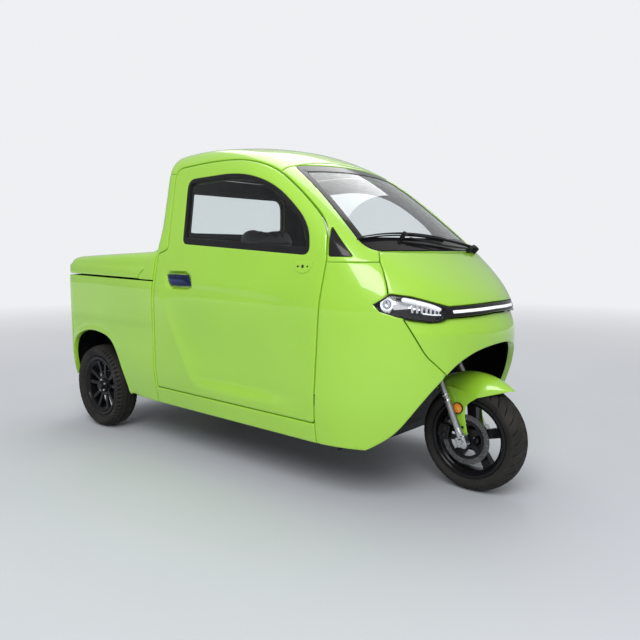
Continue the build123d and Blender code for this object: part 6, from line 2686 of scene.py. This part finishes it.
    def guard(self) -> Piece:
        """Mudguard: a leaf bent round the wheel.

        At angle t and place v across, y = w(t) sin(v pi/2) and the distance from the axle is
        R - d(t) (1 - cos(v pi/2)); w runs to a blunt point ahead and narrows a little behind.

        Returns:
            The mudguard.
        """
        rows, columns = self.guard_grid
        t = np.linspace(*self.guard_span, rows)
        v = np.linspace(-1, 1, columns)
        ahead = np.clip((t - self.guard_span[0]) / self.guard_point, 0, 1)
        half = self.guard_half * (0.10 + 0.90 * np.sin(ahead * np.pi / 2) ** 0.75)
        hem = self.hem_r / (np.sin(np.radians(t)) - self.hem_slope * np.cos(np.radians(t)))
        outer = self.guard_r - 0.0035
        drop = np.maximum(outer - hem, 0.002) * (1 - 0.75 * step(t, 104, 130))
        bend = np.pi / 2 * v[None, :]
        y = half[:, None] * np.sin(bend)
        r = outer - drop[:, None] * (1 - np.cos(bend))
        a = np.radians(t)[:, None]
        points = np.stack([AXLE_X + r * np.cos(a), y, AXLE_Z + r * np.sin(a)], -1)
        faces = grid_faces(rows, columns)
        return self.thick(make_object("mudguard", points.reshape(-1, 3), faces, ("paint",), outward=False))

    def thick(self, piece: Piece) -> Piece:
        """Turn an open sheet into a shell and round its edge.

        Args:
            piece: the open sheet.

        Returns:
            The same piece as a shell.
        """
        middle = Vector((AXLE_X, 0, AXLE_Z))
        if sum((p.center - middle).dot(p.normal) for p in piece.data.polygons) < 0:
            piece.data.flip_normals()
        shell = piece.modifiers.new("shell", "SOLIDIFY")
        shell.thickness, shell.offset, shell.use_even_offset = self.guard_t, -1.0, True
        return bevelled(piece, 0.0012)

    def stay(self, y: float) -> Surface:
        """Side plate from the mudguard down to the axle, waisted by smooth curves."""
        outline = np.vstack([smooth_path(edge, 8) for edge in self.stay_edges]) + (AXLE_X, 0)
        return plate(outline, [], self.stay_t, AXLE_ROWS, (0, y, 0))

    def marker(self) -> tuple[Piece, Piece]:
        """Round amber reflectors in black rings on both stays.

        Returns:
            The reflectors and their rings.
        """
        lens = [(0.0004, 0.001), (0.0225, 0.001), (0.0225, 0.0052), (0.014, 0.0066), (0.0004, 0.0072)]
        ring = [(0.0215, 0.0), (0.0255, 0.0), (0.0255, 0.0050), (0.0238, 0.0062), (0.0215, 0.0058)]
        bolt = [(0.0004, 0), (0.006, 0), (0.006, 0.003), (0.003, 0.0045), (0.0004, 0.0045)]
        discs, rings = [], []
        x, y, z = self.reflector
        for sign in (-1, 1):
            place, axis = (x, -sign * y, z), (0, sign, 0)
            discs.append(lathe(lens, place, axis, 36))
            rings.append(lathe(ring, place, axis, 36))
            rings += [lathe(bolt, (sx, -sign * y, sz), axis, 16) for sx, sz in self.stay_bolts]
        return assembled("side_reflectors", discs, "amber"), assembled("reflector_rings", rings, "plastic")

    def grips(self) -> Piece:
        """Rubber grips and brake levers at the ends of the bar.

        Returns:
            The grips and levers.
        """
        low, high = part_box("handlebar")
        parts = []
        for sign in (-1, 1):
            tip = np.array((low.x + 0.012, sign * high.y, low.z * 0.9 + high.z * 0.1))
            inner = tip + (0.070, -sign * 0.105, 0.022)
            line = np.linspace(tip + (0, sign * 0.004, 0.006), inner, 9)
            parts.append(tube(line, 0.0165 + 0.001 * np.cos(np.arange(9) * np.pi), 20))
            bend, end = inner + (0.045, sign * 0.03, 0.002), tip + (0.065, sign * 0.002, 0.0)
            parts.append(tube(smooth_path([inner + (0.01, 0, 0), bend, end], 6), 0.0055, 10))
        return assembled("bar_grips", parts, "rubber")

    def build(self) -> None:
        """All steered pieces."""
        legs = assembled("fork_legs", self.leg(-self.leg_y) + self.leg(self.leg_y), "silver")
        settle(legs, "steering", Finish.FORK, ["fork_sliders", "front_axle"])
        settle(self.disc(), "front_wheel", Finish.STEEL, ["brake_disc"])
        settle(self.carrier(), "front_wheel", Finish.RIM)
        settle(self.caliper(), "steering", Finish.FORK, ["brake_caliper"])
        settle(self.guard(), "steering", Finish.PAINT, ["front_fender"])
        stays = assembled("mudguard_stays", [self.stay(-self.stay_y), self.stay(self.stay_y)], "paint")
        settle(bevelled(stays, 0.0015), "steering", Finish.PAINT)
        settle(self.grips(), "steering", Finish.RUBBER)
        amber, rings = self.marker()
        settle(amber, "steering", Finish.RED)
        settle(rings, "steering", Finish.PLASTIC)


# ================================================================ construction that stays
PLAIN_NODES = {
    "plastic": ("wheelhouse", "battery_box", "bed_deck"),
    "chassis": (
        "floor_pan", "frame_rails", "cross_members", "head_frame", "leaf_springs", "rear_axle", "rear_bumper",
    ),
    "silver": ("fork_sliders", "brake_caliper"),
    "steel": ("fork_yoke", "front_axle"),
    "disc": ("brake_disc",),
    "tyre": ("tyre_front", "tyre_rear_right", "tyre_rear_left"),
    "rim": ("front_rim", "rim_rear_right", "rim_rear_left"),
    "vinyl": ("seat_cushion", "seat_back"),
    "rubber": ("handlebar",),
    "paint": ("front_fender",),
    "mirror": ("headlamps",),
    "light": ("light_bar",),
}


def dress_construction() -> None:
    """Give every construction node that stays its finish."""
    for name, nodes in PLAIN_NODES.items():
        for node in nodes:
            mesh = frame["nodes"][node].data
            mesh.materials.clear()
            mesh.materials.append(finish(name))
            LOG.info("%s: %s", node, name)


# ================================================================ studio
@dataclass
class Studio:
    """Pale floor, even light and the camera."""

    eye: tuple = (2.467, -2.515, 1.06)
    heading: tuple = (-0.663, 0.748)
    pitch: float = math.radians(-6.16)
    lens: float = 35.44
    backdrop: tuple = (0.86, 0.87, 0.89, 1.0)
    floor_reach: float = 60.0
    fade: tuple = (2.0, 11.0)   # distances between which the floor fades to the backdrop
    sky: float = 0.62           # strength of the even light
    soft_boxes: tuple = (       # name, place, aim, size, power
        ("key", (3.0, -4.0, 4.6), (0.0, 0.0, 0.7), 3.6, 260.0),
        ("top", (-1.5, 2.0, 5.2), (0.0, 0.0, 0.8), 4.2, 120.0),
    )

    @staticmethod
    def hang(name: str, data: bpy.types.ID, place: Sequence, way: Vector) -> Piece:
        """Put a camera or lamp at a place, turned to look along a direction.

        Args:
            name: name of the object.
            data: its camera or light.
            place: where it goes.
            way: direction that it looks along.

        Returns:
            The object.
        """
        item = bpy.data.objects.new(name, data)
        bpy.context.scene.collection.objects.link(item)
        item.location = place
        item.rotation_euler = way.to_track_quat("-Z", "Y").to_euler()
        return item

    def camera(self) -> None:
        """Camera at the eye, looking along the heading and a little down."""
        data = bpy.data.cameras.new("view")
        data.lens, data.sensor_width = self.lens, 36.0
        flat = unit(np.array(self.heading)) * math.cos(self.pitch)
        way = Vector((*flat, math.sin(self.pitch)))
        bpy.context.scene.camera = self.hang("view", data, self.eye, way)

    def floor(self) -> None:
        """Wide floor whose grey fades to the backdrop's white far from the car."""
        r = self.floor_reach
        points = np.array([(-r, -r, 0), (r, -r, 0), (r, r, 0), (-r, r, 0)])
        n = SurfaceNodes("studio_floor")
        far = n.add("ShaderNodeVectorMath", {0: n.place}, operation="LENGTH").outputs["Value"]
        near, distant = self.fade
        span = {"Value": far, "From Min": near, "From Max": distant}
        share = n.add("ShaderNodeMapRange", span).outputs["Result"]
        patches = n.ramp(n.noise(0.5, 3.0), (0.50, 0.52, 0.56), (0.54, 0.56, 0.60))
        mix = n.add("ShaderNodeMix", data_type="RGBA")
        n.put(mix.inputs["Factor"], share)
        n.put(mix.inputs["A"], patches)
        n.put(mix.inputs["B"], (0.0, 0.0, 0.0, 1))
        gleam = n.add("ShaderNodeMath", {0: 1.0, 1: share}, operation="SUBTRACT").outputs[0]
        n.surface(
            Base_Color=mix.outputs["Result"], Roughness=0.7, Specular_IOR_Level=gleam,
            Emission_Color=self.backdrop, Emission_Strength=share,
        )
        floor = make_object("studio_floor", points, [[0, 1, 2, 3]], outward=False)
        floor.data.materials.append(n.material)

    def world(self) -> None:
        """Even light from all round, brighter from above, with a pale backdrop in view."""
        world = bpy.data.worlds.new("studio")
        bpy.context.scene.world = world
        world.use_nodes = True
        n = Nodes(world.node_tree)
        way = n.add("ShaderNodeTexCoord").outputs["Generated"]
        height = n.add("ShaderNodeSeparateXYZ", {0: way}).outputs["Z"]
        ramp = n.ramp(height, (0.62, 0.64, 0.68), (1.0, 1.0, 1.0), (0.0, 0.9))
        light = n.add("ShaderNodeBackground", {"Color": ramp, "Strength": self.sky}).outputs[0]
        backdrop = n.add("ShaderNodeBackground", {"Color": self.backdrop}).outputs[0]
        rays = n.add("ShaderNodeLightPath").outputs
        either = {0: rays["Is Camera Ray"], 1: rays["Is Transmission Ray"]}
        seen = n.add("ShaderNodeMath", either, operation="MAXIMUM").outputs[0]
        mix = n.add("ShaderNodeMixShader", {0: seen, 1: light, 2: backdrop}).outputs[0]
        n.add("ShaderNodeOutputWorld", {"Surface": mix})

    def lamps(self) -> None:
        """Two wide soft boxes: over the front right, and high over the rear left."""
        for name, place, aim, size, power in self.soft_boxes:
            data = bpy.data.lights.new(name, "AREA")
            data.shape, data.size, data.energy = "SQUARE", size, power
            self.hang(name, data, place, Vector(aim) - Vector(place))

    def build(self) -> None:
        """All of the studio."""
        self.camera()
        self.floor()
        self.world()
        self.lamps()
        bpy.context.scene.view_settings.view_transform = "Standard"


PADS = (
    Pad(
        "seat_cushion", (0.088, 0.440, 0.452), 90.0, (0.240, 0.052),
        ((1, -0.12), (1, 0.0), (1, 0.12), (0, 0.13)),
    ),
    Pad(
        "seat_back", (0.078, 0.400, 0.585), 6.6, (0.0880, 0.316),
        ((0, -0.17), (0, -0.05), (0, 0.07), (0, 0.19)),
    ),
)
TYRES = (
    Tyre("tyre_front", "front_wheel", 0.034, 30, (0.06, 0.93), 5.0, columns=11),
    Tyre("tyre_rear_right", "rear_wheel_right", 0.024, 56, (0.62, 0.97), 1.2, (0.14, 0.56), 0.0050, 6),
    Tyre("tyre_rear_left", "rear_wheel_left", 0.024, 56, (0.62, 0.97), 1.2, (0.14, 0.56), 0.0050, 6),
)
TURNS = tuple(72.0 * k for k in range(5))
FIVE_WINDOWS = tuple((54.0 + turn, 17.0, 27.5) for turn in TURNS)
NARROW_WINDOWS = tuple((90.0 + turn, 6.0, 11.0) for turn in TURNS)
WIDE_WINDOWS = tuple((126.0 + turn, 13.0, 17.0) for turn in TURNS)
PAIR_WINDOWS = NARROW_WINDOWS + WIDE_WINDOWS
WHEELS = (
    Wheel("front_rim", "front_wheel", -1, FIVE_WINDOWS, 0.0, 0.036, 0.046, 0.055, 5, 0.034),
    Wheel("rim_rear_right", "rear_wheel_right", -1, PAIR_WINDOWS, 0.022, 0.020, 0.044, 0.036, 5, 0.034),
    Wheel("rim_rear_left", "rear_wheel_left", 1, PAIR_WINDOWS, 0.022, 0.020, 0.044, 0.036, 5, 0.034),
)


def main() -> None:
    """Build the studio and every sub-assembly in order."""
    logging.basicConfig(level=logging.INFO, format="%(name)s %(message)s")
    Studio().build()
    dress_construction()
    cab = Cab()
    cab.build()
    CabGlass(cab).build()
    for side, sign in SIDES:
        Door(side, sign).build()
    CargoBed().build()
    Dashboard().build()
    for pad in PADS:
        pad.build()
    Lamps(cab).build()
    Wiper().build()
    for tyre in TYRES:
        tyre.build()
    for wheel in WHEELS:
        wheel.build()
    FrontEnd().build()


if __name__ == "__main__":
    main()
